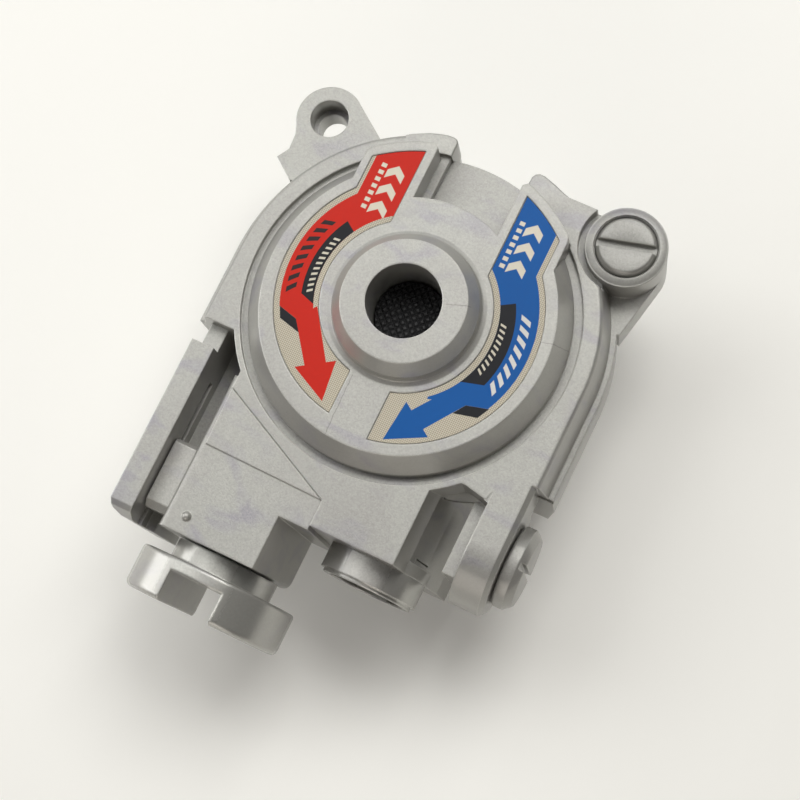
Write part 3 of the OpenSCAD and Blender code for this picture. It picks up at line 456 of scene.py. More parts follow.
@dataclass(frozen=True)
class LabelPrint:
    """Print of one label: a band that ends in an arrow, on a dotted pale ground.

    Attributes:
        name: Material name.
        side: Which of the two labels.
        ink: Colour of the band.
        middle: Middle of the band's arcs, in millimetres.
        outer: Outer radius of the band.
        inner: Inner radius of the band.
        dark_middle: Middle of the dark strip's arcs.
        dark_outer: Outer radius of the dark strip.
        arm: Inner and outer edge of the straight part, from the axis.
        top: Two points of the straight part's top edge.
        head: Barb, tip and barb of the arrow.
        shaft: Four corners of the arrow's shaft.
        wedge: Four corners of the dark wedge beside the shaft.
        strip_start: Two points of the line where the dark strip starts.
        strip_end: Two points of the line where it ends.
        foot: Two points of the line where the band ends and the shaft goes on.
        marks: Start, end and radius of the row of marks on the band.
        mark_colour: Colour of those marks.
        soft: Half width of the print's edges.
        far: How far out a point is that lies beyond everything on the label's side.
    """

    name: str
    side: Side
    ink: Colour
    middle: Point
    outer: float
    inner: float
    dark_middle: Point
    dark_outer: float
    arm: Point
    top: tuple[Point, Point]
    head: tuple[Point, Point, Point]
    shaft: tuple[Point, Point, Point, Point]
    wedge: tuple[Point, Point, Point, Point]
    strip_start: tuple[Point, Point]
    strip_end: tuple[Point, Point]
    foot: tuple[Point, Point]
    marks: Spot
    mark_colour: Colour
    soft: float = 0.035
    far: float = 100.0

    def build(self) -> Finish:
        """Makes the material."""
        g = Graph(self.name)
        at = g.place()
        draw = Drawing(g, at, self.middle)
        ink = self._ink(draw)
        strip = self._strip(draw)
        dark = strip.most(draw.patch(self.wedge)).over(0, self.soft)
        pale, strokes, small = self._marks(draw)

        u, v, _ = g.axes(g.stretched(at, (1.0, 1.0, 1.0), 45))
        dots = ((u * 15.0).sine() * (v * 15.0).sine()).over(0.0, 0.5)
        ground = g.blend(dots, linear(205, 199, 183), linear(160, 152, 134))
        colour = g.blend(ink, ground, self.ink)
        colour = g.blend(dark, colour, linear(16, 18, 24))
        colour = g.blend(pale * ink, colour, linear(216, 210, 194))
        colour = g.blend(strokes * ink * (1 - dark), colour, self.mark_colour)
        colour = g.blend(small * dark * strip.over(0, self.soft), colour, linear(206, 200, 184))
        wear = g.noise(at, 1.4, 4, 0.6)
        g.feed(base_color=g.scaled(colour, 0.94 + wear * 0.12))
        g.feed(roughness=0.42 + wear * 0.16, specular_ior_level=0.2)
        g.feed(normal=g.relief(g.noise(at, 3.0, 2), 0.006, g.soft_edges(0.08)))
        return g.material

    def _ink(self, draw: Drawing) -> Wire:
        """Mask of the straight part, the band and the arrow."""
        side, half, radius = self.side.value, draw.half, draw.radius
        near, wide = self.arm
        arm_foot, band_top = 8.0, 14.0
        arm = (draw.x * side - near).least(wide - draw.x * side).least(half(*self.top, (0, 0)))
        arm = arm.least(draw.y - arm_foot).least(radius - self.inner)
        band = (self.outer - radius).least(radius - self.inner)
        band = band.least(half(*self.foot, (side * 14, 9)))
        band = band.least(half((side * near, 30), (side * near, -30), (side * self.far, 0)))
        band = band.least(half((0, band_top), (side * 10, band_top), (0, 0)))
        shape = arm.most(band).most(draw.patch(self.shaft)).most(draw.patch(self.head))
        return shape.over(0, self.soft)

    def _strip(self, draw: Drawing) -> Wire:
        """Distance inside the dark strip along the band's inner edge."""
        side, half = self.side.value, draw.half
        strip = (self.dark_outer - draw.reach(self.dark_middle)).least(draw.radius - self.inner)
        for line in (self.strip_start, self.strip_end):
            strip = strip.least(half(*line, (side * 15, 0)))
        edge = side * 6.0
        return strip.least(half((edge, -30), (edge, 30), (side * self.far, 0)))

    def _marks(self, draw: Drawing) -> tuple[Wire, Wire, Wire]:
        """Masks of the marks for the lettering: on the straight part, the band, the strip."""
        side, radius = self.side.value, draw.radius

        # Arrowheads one above another in the straight part, with a row of ticks beside them
        centre = (self.arm[0] + self.arm[1]) / 2 + 0.4 * side - 0.25
        across = abs(draw.x * side - centre)
        foot, slope, pitch, width = 11.85, 0.8, 3.05, 1.42
        rise = (draw.y - foot + across * slope) / pitch
        chevrons = draw.row(rise, 0, 3, (0.15, 0.62, 0.02)) * (1 - across.over(width, self.soft))
        foot, aside, pitch, width = 11.4, 2.2, 1.2, 0.42
        beside = abs(draw.x * side - centre + aside * side)
        ticks = draw.row((draw.y - foot) / pitch, 0, 7, (0.15, 0.7, 0.03))
        ticks = ticks * (1 - beside.over(width, self.soft))

        # Slanted strokes along the band and along the dark strip
        outwards = {0: draw.y, 1: draw.x * side}
        angle = draw.g.add("ShaderNodeMath", {"operation": "ARCTAN2"}, outwards)
        first, last, ring = self.marks

        def ends(many: int, inset: float) -> list[int]:
            """Whole steps between which a row with so many marks to a radian runs."""
            return [round(math.radians(turn) * many) for turn in (first + inset, last - inset)]

        strokes = draw.row(angle * 11 + (radius - ring) * 0.45, *ends(11, 0), (0.18, 0.7, 0.03))
        strokes = strokes * radius.between(ring - 0.75, ring + 0.75, self.soft)
        inner = self.inner
        small = draw.row(angle * 17 + (radius - inner) * 0.5, *ends(17, 3), (0.2, 0.62, 0.03))
        small = small * radius.between(inner + 0.35, inner + 1.25, self.soft)
        return chevrons.most(ticks), strokes, small


@dataclass(frozen=True)
class SolidPlastic:
    """Plain moulded plastic with a fine eroded grain.

    Attributes:
        name: Material name.
        low: Colour of the darker clouds.
        high: Colour of the lighter clouds.
        rough: Middle roughness.
        grain: Depth of the grain in millimetres.
        edge: Radius of the soft edges in millimetres.
    """

    name: str
    low: Colour
    high: Colour
    rough: float = 0.45
    grain: float = 0.015
    edge: float = 0.2

    def build(self) -> Finish:
        """Makes the material."""
        g = Graph(self.name)
        at = g.place()
        cloud = g.noise(at, 0.3, 4, 0.6)
        grain = g.grains(at, 4.5)
        g.feed(base_color=g.blend(cloud.over(0.5, 0.2), self.low, self.high))
        g.feed(roughness=self.rough + grain * 0.12 + (cloud - 0.5) * 0.1)
        g.feed(normal=g.relief(grain + g.noise(at, 2.5), self.grain, g.soft_edges(self.edge)))
        return g.material


@dataclass(frozen=True)
class TurnedMetal:
    """Bright metal with fine marks of turning or rolling.

    Attributes:
        name: Material name.
        colour: Its colour.
        rough: Middle roughness.
        marks: How many marks to a millimetre.
        edge: Radius of the soft edges in millimetres.
    """

    name: str
    colour: Colour
    rough: float = 0.3
    marks: float = 6.0
    edge: float = 0.12

    def build(self) -> Finish:
        """Makes the material."""
        g = Graph(self.name)
        at = g.place()
        lines = g.noise(g.stretched(at, (0.1, 0.1, 1.0)), self.marks, 2, 0.6)
        tarnish = g.noise(at, 0.5, 4, 0.65)
        colour = g.blend(tarnish, self.colour, linear(150, 148, 144))
        g.feed(base_color=g.scaled(colour, 0.85 + lines * 0.2))
        g.feed(metallic=1.0, roughness=self.rough + tarnish * 0.12 + lines * 0.08)
        g.feed(normal=g.relief(lines, 0.006, g.soft_edges(self.edge)))
        return g.material


NYLON = SolidPlastic("bush_nylon", linear(220, 218, 206), linear(230, 228, 217), 0.35)
GUIDE = SolidPlastic("guide_grey", linear(124, 127, 132), linear(140, 143, 148))
SPINDLE = TurnedMetal("spindle_steel", linear(205, 206, 208), 0.2)
WASHER = TurnedMetal("washer_steel", linear(190, 191, 192))
ZINC = TurnedMetal("screw_zinc", linear(176, 178, 180))
RED_PRINT = LabelPrint(
    name="red_print",
    side=Side.RED,
    ink=linear(196, 30, 10),
    middle=(-0.6, 0.6),
    outer=19.2,
    inner=14.0,
    dark_middle=(-0.6, 0.6),
    dark_outer=16.0,
    arm=(8.3, 15.0),
    top=((-15.0, 20.9), (-9.0, 24.3)),
    head=((-11.5, -15.2), (-5.3, -18.2), (-6.15, -11.75)),
    shaft=((-14.8, -8.3), (-9.9, -14.8), (-7.3, -12.8), (-12.6, -5.3)),
    wedge=((-17.9, -7.6), (-14.7, -8.4), (-13.3, -10.2), (-17.0, -9.3)),
    strip_start=((-14.4, 8.7), (-12.3, 7.25)),
    strip_end=((-15.75, -4.5), (-12.9, -5.4)),
    foot=((-17.9, -7.6), (-14.7, -8.4)),
    marks=(-16.0, 26.0, 17.7),
    mark_colour=linear(38, 26, 28),
)
BLUE_PRINT = LabelPrint(
    name="blue_print",
    side=Side.BLUE,
    ink=linear(0, 84, 158),
    middle=(0.0, 0.0),
    outer=19.95,
    inner=14.1,
    dark_middle=(0.2, -0.5),
    dark_outer=16.5,
    arm=(8.9, 15.65),
    top=((9.1, 24.2), (15.65, 20.4)),
    head=((6.3, -13.0), (5.6, -19.6), (11.6, -16.5)),
    shaft=((14.6, -9.8), (10.2, -16.0), (7.3, -14.2), (12.9, -6.6)),
    wedge=((14.6, -9.8), (18.0, -8.9), (17.0, -10.8), (13.3, -11.7)),
    strip_start=((14.5, 7.3), (12.8, 6.3)),
    strip_end=((13.0, -6.7), (15.9, -5.9)),
    foot=((14.6, -9.8), (18.0, -8.9)),
    marks=(-20.0, 21.0, 18.1),
    mark_colour=linear(214, 214, 210),
)


class Bench:
    """Models pieces by hand operations, in millimetres, each from one starting point.

    Attributes:
        MERGE: Points nearer to each other than this are merged.
        SHARP: Edges that turn by more than this are broken.
        SMOOTH: Edges that turn by less than this are shaded smooth.
    """

    MERGE = 0.002
    SHARP = math.radians(35)
    SMOOTH = math.radians(32)

    @staticmethod
    def pick(piece: Piece) -> None:
        """Makes the piece the only selected object, and the active one."""
        bpy.ops.object.select_all(action="DESELECT")
        piece.select_set(True)
        bpy.context.view_layer.objects.active = piece

    @staticmethod
    def unmark(piece: Piece, kind: str) -> None:
        """Picks the piece, with nothing in its mesh selected and FACE or EDGE picking on."""
        Bench.pick(piece)
        bpy.ops.object.mode_set(mode="EDIT")
        bpy.ops.mesh.select_mode(type=kind)
        bpy.ops.mesh.select_all(action="DESELECT")
        bpy.ops.object.mode_set(mode="OBJECT")

    @staticmethod
    def trace(name: str, points: list[Spot]) -> Piece:
        """Draws a chain of edges and leaves it selected in edit mode.

        Args:
            name: Name of the piece.
            points: The chain's points in millimetres.

        Returns:
            The piece.
        """
        bpy.ops.object.select_all(action="DESELECT")
        bpy.ops.mesh.primitive_plane_add(size=MM, location=[v * MM for v in points[0]])
        piece = bpy.context.active_object
        piece.name = piece.data.name = name
        bpy.ops.object.mode_set(mode="EDIT")
        bpy.ops.mesh.select_mode(type="VERT")
        bpy.ops.mesh.select_all(action="SELECT")
        bpy.ops.mesh.merge(type="CENTER")
        for here, there in zip(points, points[1:]):
            step = [(b - a) * MM for a, b in zip(here, there)]
            bpy.ops.mesh.extrude_vertices_move(TRANSFORM_OT_translate={"value": step})
        bpy.ops.mesh.select_all(action="SELECT")
        return piece

    @classmethod
    def prism(cls, name: str, outline: list[Spot], rise: Spot) -> Piece:
        """Makes a solid from an outline that is pushed along a direction.

        Args:
            name: Name of the piece.
            outline: Corners in millimetres, in order.
            rise: How far and which way the outline is pushed.

        Returns:
            The piece, in object mode.
        """
        piece = cls.trace(name, outline)
        bpy.ops.mesh.edge_face_add()
        bpy.ops.mesh.extrude_region_move(TRANSFORM_OT_translate={"value": [v * MM for v in rise]})
        return cls.close(piece)

    @classmethod
    def turned(
        cls, name: str, profile: list[Spot], centre: Spot, axis: Spot, steps: int = 72,
    ) -> Piece:
        """Makes a round solid by spinning a profile.

        Args:
            name: Name of the piece.
            profile: Points in millimetres, on one side of the axis.
            centre: A point of the axis, in millimetres.
            axis: Direction of the axis.
            steps: Faces round the axis.

        Returns:
            The piece, in object mode.
        """
        piece = cls.trace(name, profile)
        middle = [v * MM for v in centre]
        bpy.ops.mesh.spin(steps=steps, angle=2 * math.pi, center=middle, axis=axis)
        return cls.close(piece)

    @staticmethod
    def close(piece: Piece) -> Piece:
        """Ends edit mode: merges doubles, turns the normals outwards and fixes the place."""
        bpy.ops.mesh.select_all(action="SELECT")
        bpy.ops.mesh.remove_doubles(threshold=Bench.MERGE * MM)
        bpy.ops.mesh.normals_make_consistent(inside=False)
        bpy.ops.object.mode_set(mode="OBJECT")
        bpy.ops.object.transform_apply(location=True, rotation=True, scale=True)
        return piece

    @staticmethod
    def cut(piece: Piece, cutter: Piece) -> None:
        """Takes the cutter's shape out of the piece and removes the cutter."""
        Bench.apply(piece, "BOOLEAN", operation="DIFFERENCE", solver="EXACT", object=cutter)
        bpy.data.objects.remove(cutter)

    @staticmethod
    def apply(piece: Piece, kind: str, **settings: object) -> None:
        """Adds a modifier and applies it."""
        Bench.pick(piece)
        modifier = piece.modifiers.new(kind.lower(), kind)
        for key, value in settings.items():
            setattr(modifier, key, value)
        bpy.ops.object.modifier_apply(modifier=modifier.name)

    @staticmethod
    def taper(piece: Piece, rise: float, scale: float) -> None:
        """Pushes the piece's top up and draws it in towards the rotor's axis.

        Args:
            piece: The piece.
            rise: How far up, in millimetres.
            scale: The new top's size against the old one.
        """
        Bench.unmark(piece, "FACE")
        top = max(vertex.co.z for vertex in piece.data.vertices)
        for polygon in piece.data.polygons:
            polygon.select = polygon.center.z > top - 0.01 * MM
        bpy.ops.object.mode_set(mode="EDIT")
        bpy.ops.mesh.extrude_region_move(TRANSFORM_OT_translate={"value": (0, 0, rise * MM)})
        bpy.ops.transform.resize(value=(scale, scale, 1), center_override=(0, 0, 0))
        bpy.ops.object.mode_set(mode="OBJECT")

    @staticmethod
    def round_edges(
        piece: Piece, width: float, picked: Callable[[Vector, Vector], bool],
    ) -> None:
        """Rounds the edges whose ends, in millimetres, pass a test.

        Args:
            piece: The piece.
            width: Width of the rounding in millimetres.
            picked: Says for two ends whether the edge is rounded.
        """
        Bench.unmark(piece, "EDGE")
        spots = [vertex.co / MM for vertex in piece.data.vertices]
        for edge in piece.data.edges:
            edge.select = picked(spots[edge.vertices[0]], spots[edge.vertices[1]])
        bpy.ops.object.mode_set(mode="EDIT")
        bpy.ops.mesh.bevel(offset=width * MM, segments=4, affect="EDGES")
        bpy.ops.object.mode_set(mode="OBJECT")

    @staticmethod
    def break_edges(piece: Piece, width: float = 0.12) -> None:
        """Rounds all sharp edges of the piece a little, with a width in millimetres."""
        limit = {"limit_method": "ANGLE", "angle_limit": Bench.SHARP}
        Bench.apply(piece, "BEVEL", width=width * MM, segments=2, **limit)

    @staticmethod
    def finish(
        piece: Piece, material: Finish, body: str, slot: str, edge: float = 0.12,
    ) -> None:
        """Breaks sharp edges, merges doubles, gives the finish and fastens the piece to its body.

        Args:
            piece: The piece.
            material: Its material.
            body: The body that it moves with.
            slot: Not used.
            edge: Width of the broken edges in millimetres, or 0.
        """
        if edge:
            Bench.break_edges(piece, edge)
        Bench.pick(piece)
        bpy.ops.object.mode_set(mode="EDIT")
        Bench.close(piece)
        bpy.ops.object.shade_smooth_by_angle(angle=Bench.SMOOTH)
        piece.data.materials.append(material)
        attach(piece, body)
        LOG.info("modelled: %s on %s", piece.name, body)


class SubAssembly:
    """Nodes that share a body, with the finish of each.

    Attributes:
        name: What it is.
        finishes: Finish of each node.
    """

    name: str
    finishes: dict[str, object]

    def dress(self, nodes: dict[str, Piece], made: dict[str, Finish]) -> None:
        """Gives the nodes their finishes.

        Args:
            nodes: The frame's objects by node name.
            made: Materials that are ready, by name.
        """
        for node, finish in self.finishes.items():
            if finish.name not in made:
                made[finish.name] = finish.build()
            mesh = nodes[node].data
            mesh.materials.clear()
            mesh.materials.append(made[finish.name])
            LOG.info("%s: %s in %s", self.name, node, finish.name)

    def model(self, made: dict[str, Finish]) -> None:
        """Models the pieces that the sub-assembly adds or replaces, if it has any.

        Args:
            made: Materials by name.
        """


@dataclass(frozen=True)
class Guard:
    """Rounded end of the ring behind one arm.

    Attributes:
        name: Name of the piece.
        outline: Its corners in millimetres.
        outer: How many of them, after the first, lie on the outside.
    """

    name: str
    outline: tuple[Point, ...]
    outer: int


class Housing(SubAssembly):
    """Both shells with their cover, labels, sleeve and screws.

    Attributes:
        face_z: Height of the front face, in millimetres.
        guards: Ends of the ring behind the arms.
        rim: Profile of the boss's rim, as distance from the lock's axis and height over the face.
    """

    name = "housing"
    finishes = {
        "front_shell": SilverPlastic("front_shell_silver", tone=SHELL_TONE),
        "back_shell": SilverPlastic("back_shell_silver", tone=0.98, turn=70.0, streak=0.7),
        "direction_cover": SilverPlastic(
            "cover_silver", tone=0.99, turn=-40.0, streak=0.6,
            knit_lines=(
                ((6.0, 2.1), (9.5, 3.3)),
                ((-2.6, -22.4), (-2.9, -12.6)),
                ((20.6, 3.4), (24.6, 4.6)),
            ),
        ),
        "red_label": RED_PRINT,
        "blue_label": BLUE_PRINT,
        "exit_sleeve": SilverPlastic(
            "sleeve_silver", tone=1.05, streak=0.2, edge=0.45, metallic=0.55, rough=0.22,
        ),
        "front_bush": NYLON,
        "back_bush": NYLON,
        "guide_left": GUIDE,
        "guide_right": GUIDE,
        "pivot_nut": SilverPlastic("nut_silver", tone=0.95, streak=0.2),
        "case_screws": ZINC,
    }

    face_z: float = 34.0
    guards: tuple[Guard, ...] = (
        Guard("red_guard_end", (
            (-13.4, 26.0), (-12.1, 26.9), (-10.1, 27.9), (-8.4, 28.45), (-7.2, 28.7),
            (-6.3, 28.72), (-5.8, 28.62), (-5.5, 28.35), (-5.3, 27.95), (-5.27, 27.3),
            (-5.27, 25.72), (-7.0, 25.72), (-8.0, 24.6), (-12.0, 23.4),
        ), 10),
        Guard("blue_guard_end", (
            (7.7, 24.2), (7.5, 26.4), (7.55, 27.7), (7.88, 28.3), (8.5, 28.65), (9.4, 28.6),
            (11.5, 27.95), (13.3, 27.25), (14.6, 26.85), (14.9, 25.6), (12.4, 23.2),
        ), 8),
    )
    rim: tuple[Point, ...] = (
        (4.95, -0.4), (4.95, 0.3), (5.07, 0.42), (5.3, 0.42),
        (6.32, -0.12), (6.32, -0.4), (4.95, -0.4),
    )

    def model(self, made: dict[str, Finish]) -> None:
        """Models the guards' rounded ends, the boss's rim and the fillets beside the block.

        Args:
            made: Not used.
        """
        plain = SilverPlastic("guard_silver", tone=SHELL_TONE, edge=0.01).build()
        for guard in self.guards:
            self._fasten(self._guard(guard), plain)
        # The boss's rim gets a darker tone: painted shade, standing in for the dark reflection on
        # its sloping side
        self._fasten(self._rim(), SilverPlastic("rim_shaded_silver", tone=0.84, edge=0.01).build())
        low, top = 27.2, self.face_z - 0.02
        notch = [(22.5, -20.9, low), (23.4, -21.15, low), (23.4, -19.1, low), (22.7, -19.5, low)]
        self._fasten(Bench.prism("gusset_root", notch, (0, 0, top - low)), plain)
        self._fasten(self._seal(), plain)
        start, width = -35.46, 2.7
        corners = [(15.7, 25.9), (16.26, 26.04), (18.1, 20.55), (17.5, 20.3)]
        cheek = [(x, start, z) for x, z in corners]
        self._fasten(Bench.prism("block_cheek", cheek, (0, width, 0)), plain)

    @staticmethod
    def _fasten(piece: Piece, material: Finish) -> None:
        """Finishes a piece that belongs to the shells."""
        Bench.finish(piece, material, "housing", "silver_shell", 0)

    def _guard(self, guard: Guard) -> Piece:
        """Models one guard's end, with round edges on the outside of its top."""
        low, lift, rounding = 28.0, 0.03, 0.32
        foot = [(x, y, low) for x, y in guard.outline]
        piece = Bench.prism(guard.name, foot, (0, 0, self.face_z + lift - low))
        kept = {(round(x, 3), round(y, 3)) for x, y in guard.outline[1:guard.outer + 1]}

        def outside(a: Vector, b: Vector) -> bool:
            """Says whether an edge is on the top and between two outer corners."""
            ends = [(round(p.x, 3), round(p.y, 3)) in kept for p in (a, b)]
            return all(ends) and min(a.z, b.z) > self.face_z - 0.5

        Bench.round_edges(piece, rounding, outside)
        return piece

    def _rim(self) -> Piece:
        """Models the rim round the recess of the cover lock."""
        (x, y), z = LOCK_AXIS, self.face_z
        profile = [(x + radius, y, z + height) for radius, height in self.rim]
        return Bench.turned("boss_rim", profile, (x, y, z), (0, 0, 1))

    def _seal(self) -> Piece:
        """Models the arc over the joint of both shells, with a sloping top."""
        start, step, count = -62.0, 1.5, 15
        outer, inner, low, height = 27.6, 27.2, 9.5, 16.4
        slope, draw_in = 1.2, 0.988
        turns = [math.radians(start + step * number) for number in range(count)]
        arc = [(outer * math.cos(t), outer * math.sin(t), low) for t in turns]
        arc += [(inner * math.cos(t), inner * math.sin(t), low) for t in reversed(turns)]
        seal = Bench.prism("wall_seal", arc, (0, 0, height))
        Bench.taper(seal, slope, draw_in)
        return seal


class Rotor(SubAssembly):
    """Spindle, gear, hub, prongs and the knurled pad in the cover's centre."""

    name = "rotor"
    finishes = {
        "rotor_pad": SolidPlastic(
            "pad_black", linear(24, 24, 26), linear(34, 34, 36), 0.55, 0.02, 0.06,
        ),
        "rotor_hub": SolidPlastic(
            "hub_black", linear(26, 26, 29), linear(38, 38, 41), 0.4, 0.012, 0.25,
        ),
        "spindle": SPINDLE,
        "front_washer": WASHER,
        "back_washer": WASHER,
        "gear_pin": SPINDLE,
        "drive_gear": SolidPlastic(
            "gear_natural", linear(222, 219, 208), linear(232, 229, 219), 0.4,
        ),
        "prong_plate": TurnedMetal("prong_steel", linear(198, 199, 200), 0.28, 2.0, 0.18),
        "hub_screw": ZINC,
    }


class Coupling(SubAssembly):
    """The slotted round coupling and its clip."""

    name = "coupling"
    finishes = {
        "coupling_foot": SilverPlastic(
            "coupling_silver",
            tone=1.08, streak=0.25, turn=0.0, edge=0.5, metallic=0.55, rough=0.22,
        ),
        "coupling_clip": WASHER,
    }


class Locks(SubAssembly):
    """Side lock, cover lock and the grip's pivot.

    Attributes:
        pivot: Axis of the pivot screw, as y and z in millimetres.
    """

    name = "locks"
    finishes = {
        "slide_lock": SilverPlastic("slide_silver", tone=1.12, streak=0.3),
        # The cover lock's darker tone is painted shade, which darkens its head against the faces
        # round it
        "lock_screw": SilverPlastic("lock_shaded_silver", tone=0.8, streak=0.15, edge=0.35),
        "pivot_screw": SilverPlastic("pivot_silver", tone=0.9, streak=0.15, edge=0.3),
        "pivot_clip": WASHER,
    }

    pivot: Point = (-27.3, 25.0)

    def model(self, made: dict[str, Finish]) -> None:
        """Models both screws again, each with a bevelled head and a wide slot.

        Args:
            made: Materials by name.
        """
        lock = self._cover_lock()
        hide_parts("lock_screw")
        Bench.finish(lock, made["lock_shaded_silver"], "cover_lock", "silver_lock", 0)
        screw = self._pivot_screw()
        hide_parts("pivot_screw")
        Bench.finish(screw, made["pivot_silver"], "grip_pivot", "silver_pivot")

    def _cover_lock(self) -> Piece:
        """Models the quarter-turn lock: shank and head, slot, and a foot of two wings."""
        x, y = LOCK_AXIS
        low, foot_top, seat, top = 20.4, 21.7, 32.15, 35.05
        shank, head = 2.0, 4.78
        rings = [
            (0, low), (shank, low), (shank, seat), (head - 0.28, seat), (head, seat + 0.25),
            (head, top - 1.25), (head - 0.12, top - 0.95), (head - 0.5, top - 0.15),
            (head - 0.68, top), (0, top),
        ]
        profile = [(x + radius, y, height) for radius, height in rings]
        lock = Bench.turned("cover_lock_screw", profile, (x, y, low), (0, 0, 1))
        slot_turn = math.radians(14.5)
        ux, uy = math.cos(slot_turn), math.sin(slot_turn)

        def oblong(length: float, width: float, height: float) -> list[Spot]:
            """Corners of an oblong across the lock, from its half length and half width."""
            corners = [(-length, -width), (length, -width), (length, width), (-length, width)]
            return [(x + a * ux - b * uy, y + a * uy + b * ux, height) for a, b in corners]

        depth = 1.1
        slot = oblong(6.0, 0.58, top - depth)
        Bench.cut(lock, Bench.prism("slot_cutter", slot, (0, 0, 3)))
        Bench.break_edges(lock)
        start = low + 0.05
        wings = Bench.prism("foot_wings", oblong(2.8, 1.3, start), (0, 0, foot_top - start))
        Bench.apply(lock, "BOOLEAN", operation="UNION", solver="EXACT", object=wings)
        bpy.data.objects.remove(wings)
        return lock

    def _pivot_screw(self) -> Piece:
        """Models the grip's cross screw: shank with a groove, head and slot."""
        y, z = self.pivot
        tip, groove, groove_end, seat, top = 20.9, 21.5, 22.2, 29.1, 32.2
        shank, neck, head = 2.4, 1.7, 6.6
        rings = [
            (tip, 0.0), (tip, shank - 0.2), (tip + 0.2, shank), (groove, shank), (groove, neck),
            (groove_end, neck), (groove_end, shank), (seat, shank), (seat, head - 0.3),
            (seat + 0.3, head), (top - 1.2, head), (top - 0.4, head - 0.7), (top, head - 1.1),
            (top, 0.0),
        ]
        profile = [(along, y, z + radius) for along, radius in rings]
        screw = Bench.turned("pivot_head_screw", profile, (tip, y, z), (1, 0, 0))
        length, width, depth = 9.0, 0.5, 0.9
        corners = [(-width, -length), (width, -length), (width, length), (-width, length)]
        slot = [(top - depth, y + across, z + up) for across, up in corners]
        Bench.cut(screw, Bench.prism("slot_cutter", slot, (2, 0, 0)))
        return screw


def level_axes(right: Spot) -> tuple[Vector, Vector]:
    """Level directions towards the picture's right side and towards its top."""
    across = Vector((right[0], right[1], 0)).normalized()
    return across, Vector((-across.y, across.x, 0))


@dataclass(frozen=True)
class Lamp:
    """A square lamp that shines at the object from one side of the picture.

    Attributes:
        name: Its name.
        turn: Where it stands, in degrees clockwise from the picture's top.
        height: How high it stands above the table, in degrees.
        size: Its side in metres.
        power: Its power in watts.
        colour: Its colour.
    """

    name: str
    turn: float
    height: float
    size: float
    power: float
    colour: Colour

    def place(self, right: Spot, distance: float) -> None:
        """Adds the lamp.

        Args:
            right: Direction of the picture's right side.
            distance: How far it stands from the object, in metres.
        """
        data = bpy.data.lights.new(self.name, "AREA")
        data.shape = "SQUARE"
        data.size = self.size
        data.energy = self.power
        data.color = self.colour
        lamp = bpy.data.objects.new(self.name, data)
        bpy.context.scene.collection.objects.link(lamp)
        across, away = level_axes(right)
        turn, height = math.radians(self.turn), math.radians(self.height)
        flat = away * math.cos(turn) + across * math.sin(turn)
        at = (flat * math.cos(height) + Vector((0, 0, math.sin(height)))) * distance
        lamp.location = at
        lamp.rotation_euler = (Vector((0, 0, 0.02)) - at).to_track_quat("-Z", "Y").to_euler()


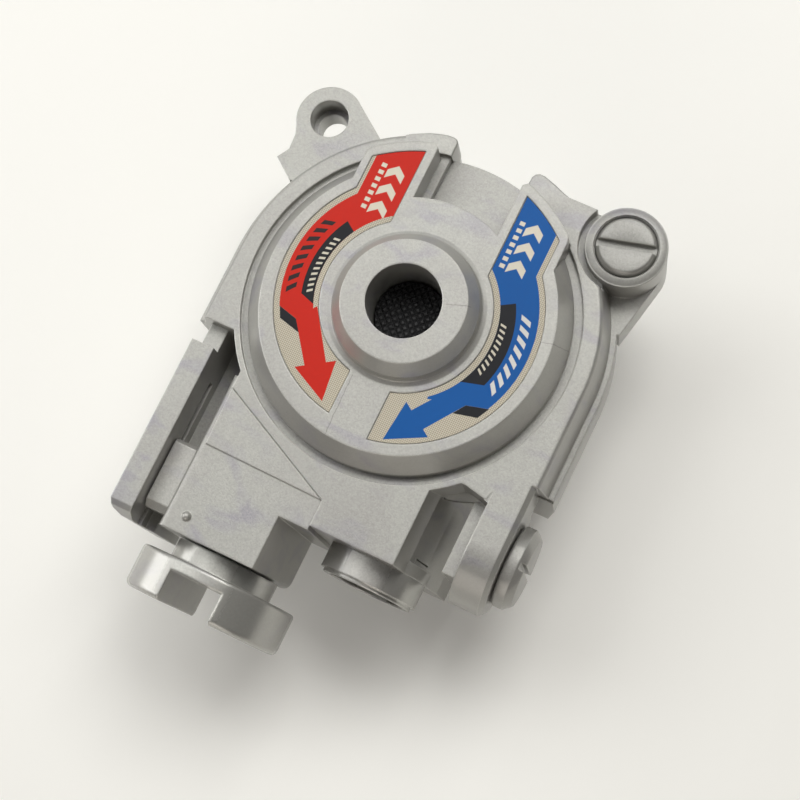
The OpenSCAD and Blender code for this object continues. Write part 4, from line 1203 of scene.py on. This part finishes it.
@dataclass
class Studio:
    """Pale table, soft light from the upper left, and the camera of the photograph.

    Attributes:
        eye: Place of the camera, in metres.
        right: Direction of the picture's right side.
        down: Direction of the picture's lower side.
        ahead: Direction of view.
        lens: Focal length in millimetres.
        sensor: Width of the sensor in millimetres.
        table_size: Side of the table, in metres.
        table_tones: Its darker and its lighter colour.
        table_lift: How much lighter it shows than it shines on the object.
        table_fade: Radius and half width of its change into the backdrop, in millimetres.
        backdrop: Colour of the surroundings behind the object.
        distance: Distance of the lamps from the object, in metres.
        lamps: The lamps.
        sky: Strength of the surroundings' light.
        sky_colour: Its colour.
        shine: How bright shiny surfaces mirror the surroundings, on the near and on the far side.
    """

    eye: Spot = (0.05982, -0.05356, 0.29681)
    right: Spot = (0.891, 0.438, -0.1192)
    down: Spot = (0.4057, -0.8862, -0.2237)
    ahead: Spot = (-0.2036, 0.151, -0.9673)
    lens: float = 80.93
    sensor: float = 36.0
    table_size: float = 1.6
    table_tones: tuple[Colour, Colour] = ((0.85, 0.85, 0.825), (0.87, 0.87, 0.84))
    table_lift: float = 0.1
    table_fade: Point = (420, 220)
    backdrop: Colour = (0.93, 0.935, 0.9)
    distance: float = 0.7
    lamps: tuple[Lamp, ...] = (
        Lamp("window", 306, 55, 0.36, 1.3, (1.0, 0.995, 0.975)),
        Lamp("ceiling", 0, 61, 0.3, 0.75, (1.0, 0.995, 0.975)),
        Lamp("side", 42, 61, 0.34, 2.3, (1.0, 0.985, 0.955)),
        Lamp("left", 280, 13, 0.45, 1.7, (1.0, 0.995, 0.98)),
        Lamp("near", 195, 20, 0.5, 1.1, (1.0, 0.93, 0.86)),
    )
    sky: float = 0.09
    sky_colour: Colour = (1.0, 0.9, 0.8)
    shine: Point = (0.1, 0.95)

    def camera(self) -> None:
        """Puts the camera where the photograph was taken from."""
        data = bpy.data.cameras.new("camera")
        data.sensor_width = self.sensor
        data.lens = self.lens
        data.clip_start = 0.01
        camera = bpy.data.objects.new("camera", data)
        bpy.context.scene.collection.objects.link(camera)
        columns = (Vector(self.right), -Vector(self.down), -Vector(self.ahead))
        turn = Matrix(columns).transposed()
        camera.matrix_world = Matrix.Translation(self.eye) @ turn.to_4x4()
        bpy.context.scene.camera = camera

    def table(self) -> None:
        """Adds the pale table, which shows lighter to the camera than it shines on the object."""
        bpy.ops.mesh.primitive_plane_add(size=self.table_size, location=(0, 0, 0))
        table = bpy.context.active_object
        table.name = "table"
        g = Graph("table_white")
        at = g.place()
        tone = g.noise(at, 0.004, 2).between(0.2, 0.9, 0.3)
        g.feed(base_color=g.blend(tone, *self.table_tones), roughness=0.9, specular_ior_level=0.1)
        rays = g.node("ShaderNodeLightPath", {}, {})
        camera = g.out(rays, "Is Camera Ray")
        seen = camera.most(g.out(rays, "Is Glossy Ray")).most(g.out(rays, "Is Transmission Ray"))
        glow = {"Color": (1.0, 1.0, 0.97), "Strength": seen * self.table_lift}
        lift = g.add("ShaderNodeEmission", {}, glow)
        both = g.add("ShaderNodeAddShader", {}, {0: g.out(g.shader), 1: lift})
        reach = g.add("ShaderNodeVectorMath", {"operation": "LENGTH"}, {0: at}, "Value")
        far = reach.over(*self.table_fade) * camera
        white = g.add("ShaderNodeEmission", {}, {"Color": self.backdrop, "Strength": 1.0})
        whole = g.add("ShaderNodeMixShader", {}, {0: far, 1: both, 2: white})
        g.put(g.output.inputs["Surface"], whole)
        table.data.materials.append(g.material)

    def surroundings(self) -> None:
        """Sets the pale world, which lights the object weakly and shows nearly white."""
        world = bpy.data.worlds.new("room")
        bpy.context.scene.world = world
        world.use_nodes = True
        g = Tree(world.node_tree)
        light = g.add("ShaderNodeBackground", {}, {0: self.sky_colour, 1: self.sky})
        shown = g.add("ShaderNodeBackground", {}, {0: self.backdrop})
        across, away = level_axes(self.right)
        bright = (away * 0.75 - across * 0.35).normalized()
        where = g.add("ShaderNodeTexCoord", {}, {}, "Generated")
        values = {
            "Value": g.dot(where, tuple(bright)), "From Min": -0.35, "From Max": 0.85,
            "To Min": self.shine[0], "To Max": self.shine[1],
        }
        fade = g.add("ShaderNodeMapRange", {"interpolation_type": "SMOOTHSTEP"}, values)
        mirrored = g.add("ShaderNodeBackground", {}, {1: fade})
        rays = g.node("ShaderNodeLightPath", {}, {})
        glossy, camera = g.out(rays, "Is Glossy Ray"), g.out(rays, "Is Camera Ray")
        lit = g.add("ShaderNodeMixShader", {}, {0: glossy, 1: light, 2: mirrored})
        whole = g.add("ShaderNodeMixShader", {}, {0: camera, 1: lit, 2: shown})
        g.node("ShaderNodeOutputWorld", {}, {0: whole})

    def build(self) -> None:
        """Sets up camera, table, lamps and surroundings."""
        self.camera()
        self.table()
        for lamp in self.lamps:
            lamp.place(self.right, self.distance)
        self.surroundings()


def main() -> None:
    """Dresses the solids and sets up the studio."""
    logging.basicConfig(level=logging.INFO, format="%(name)s: %(message)s")
    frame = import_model()
    bpy.ops.object.select_all(action="DESELECT")
    bpy.context.scene.view_settings.view_transform = "Standard"
    made: dict[str, Finish] = {}
    parts = (Housing(), Rotor(), Coupling(), Locks())
    for part in parts:
        part.dress(frame["nodes"], made)
    for part in parts:
        part.model(made)
    Studio().build()
    LOG.info("finished: %d materials", len(made))


if __name__ == "__main__":
    main()
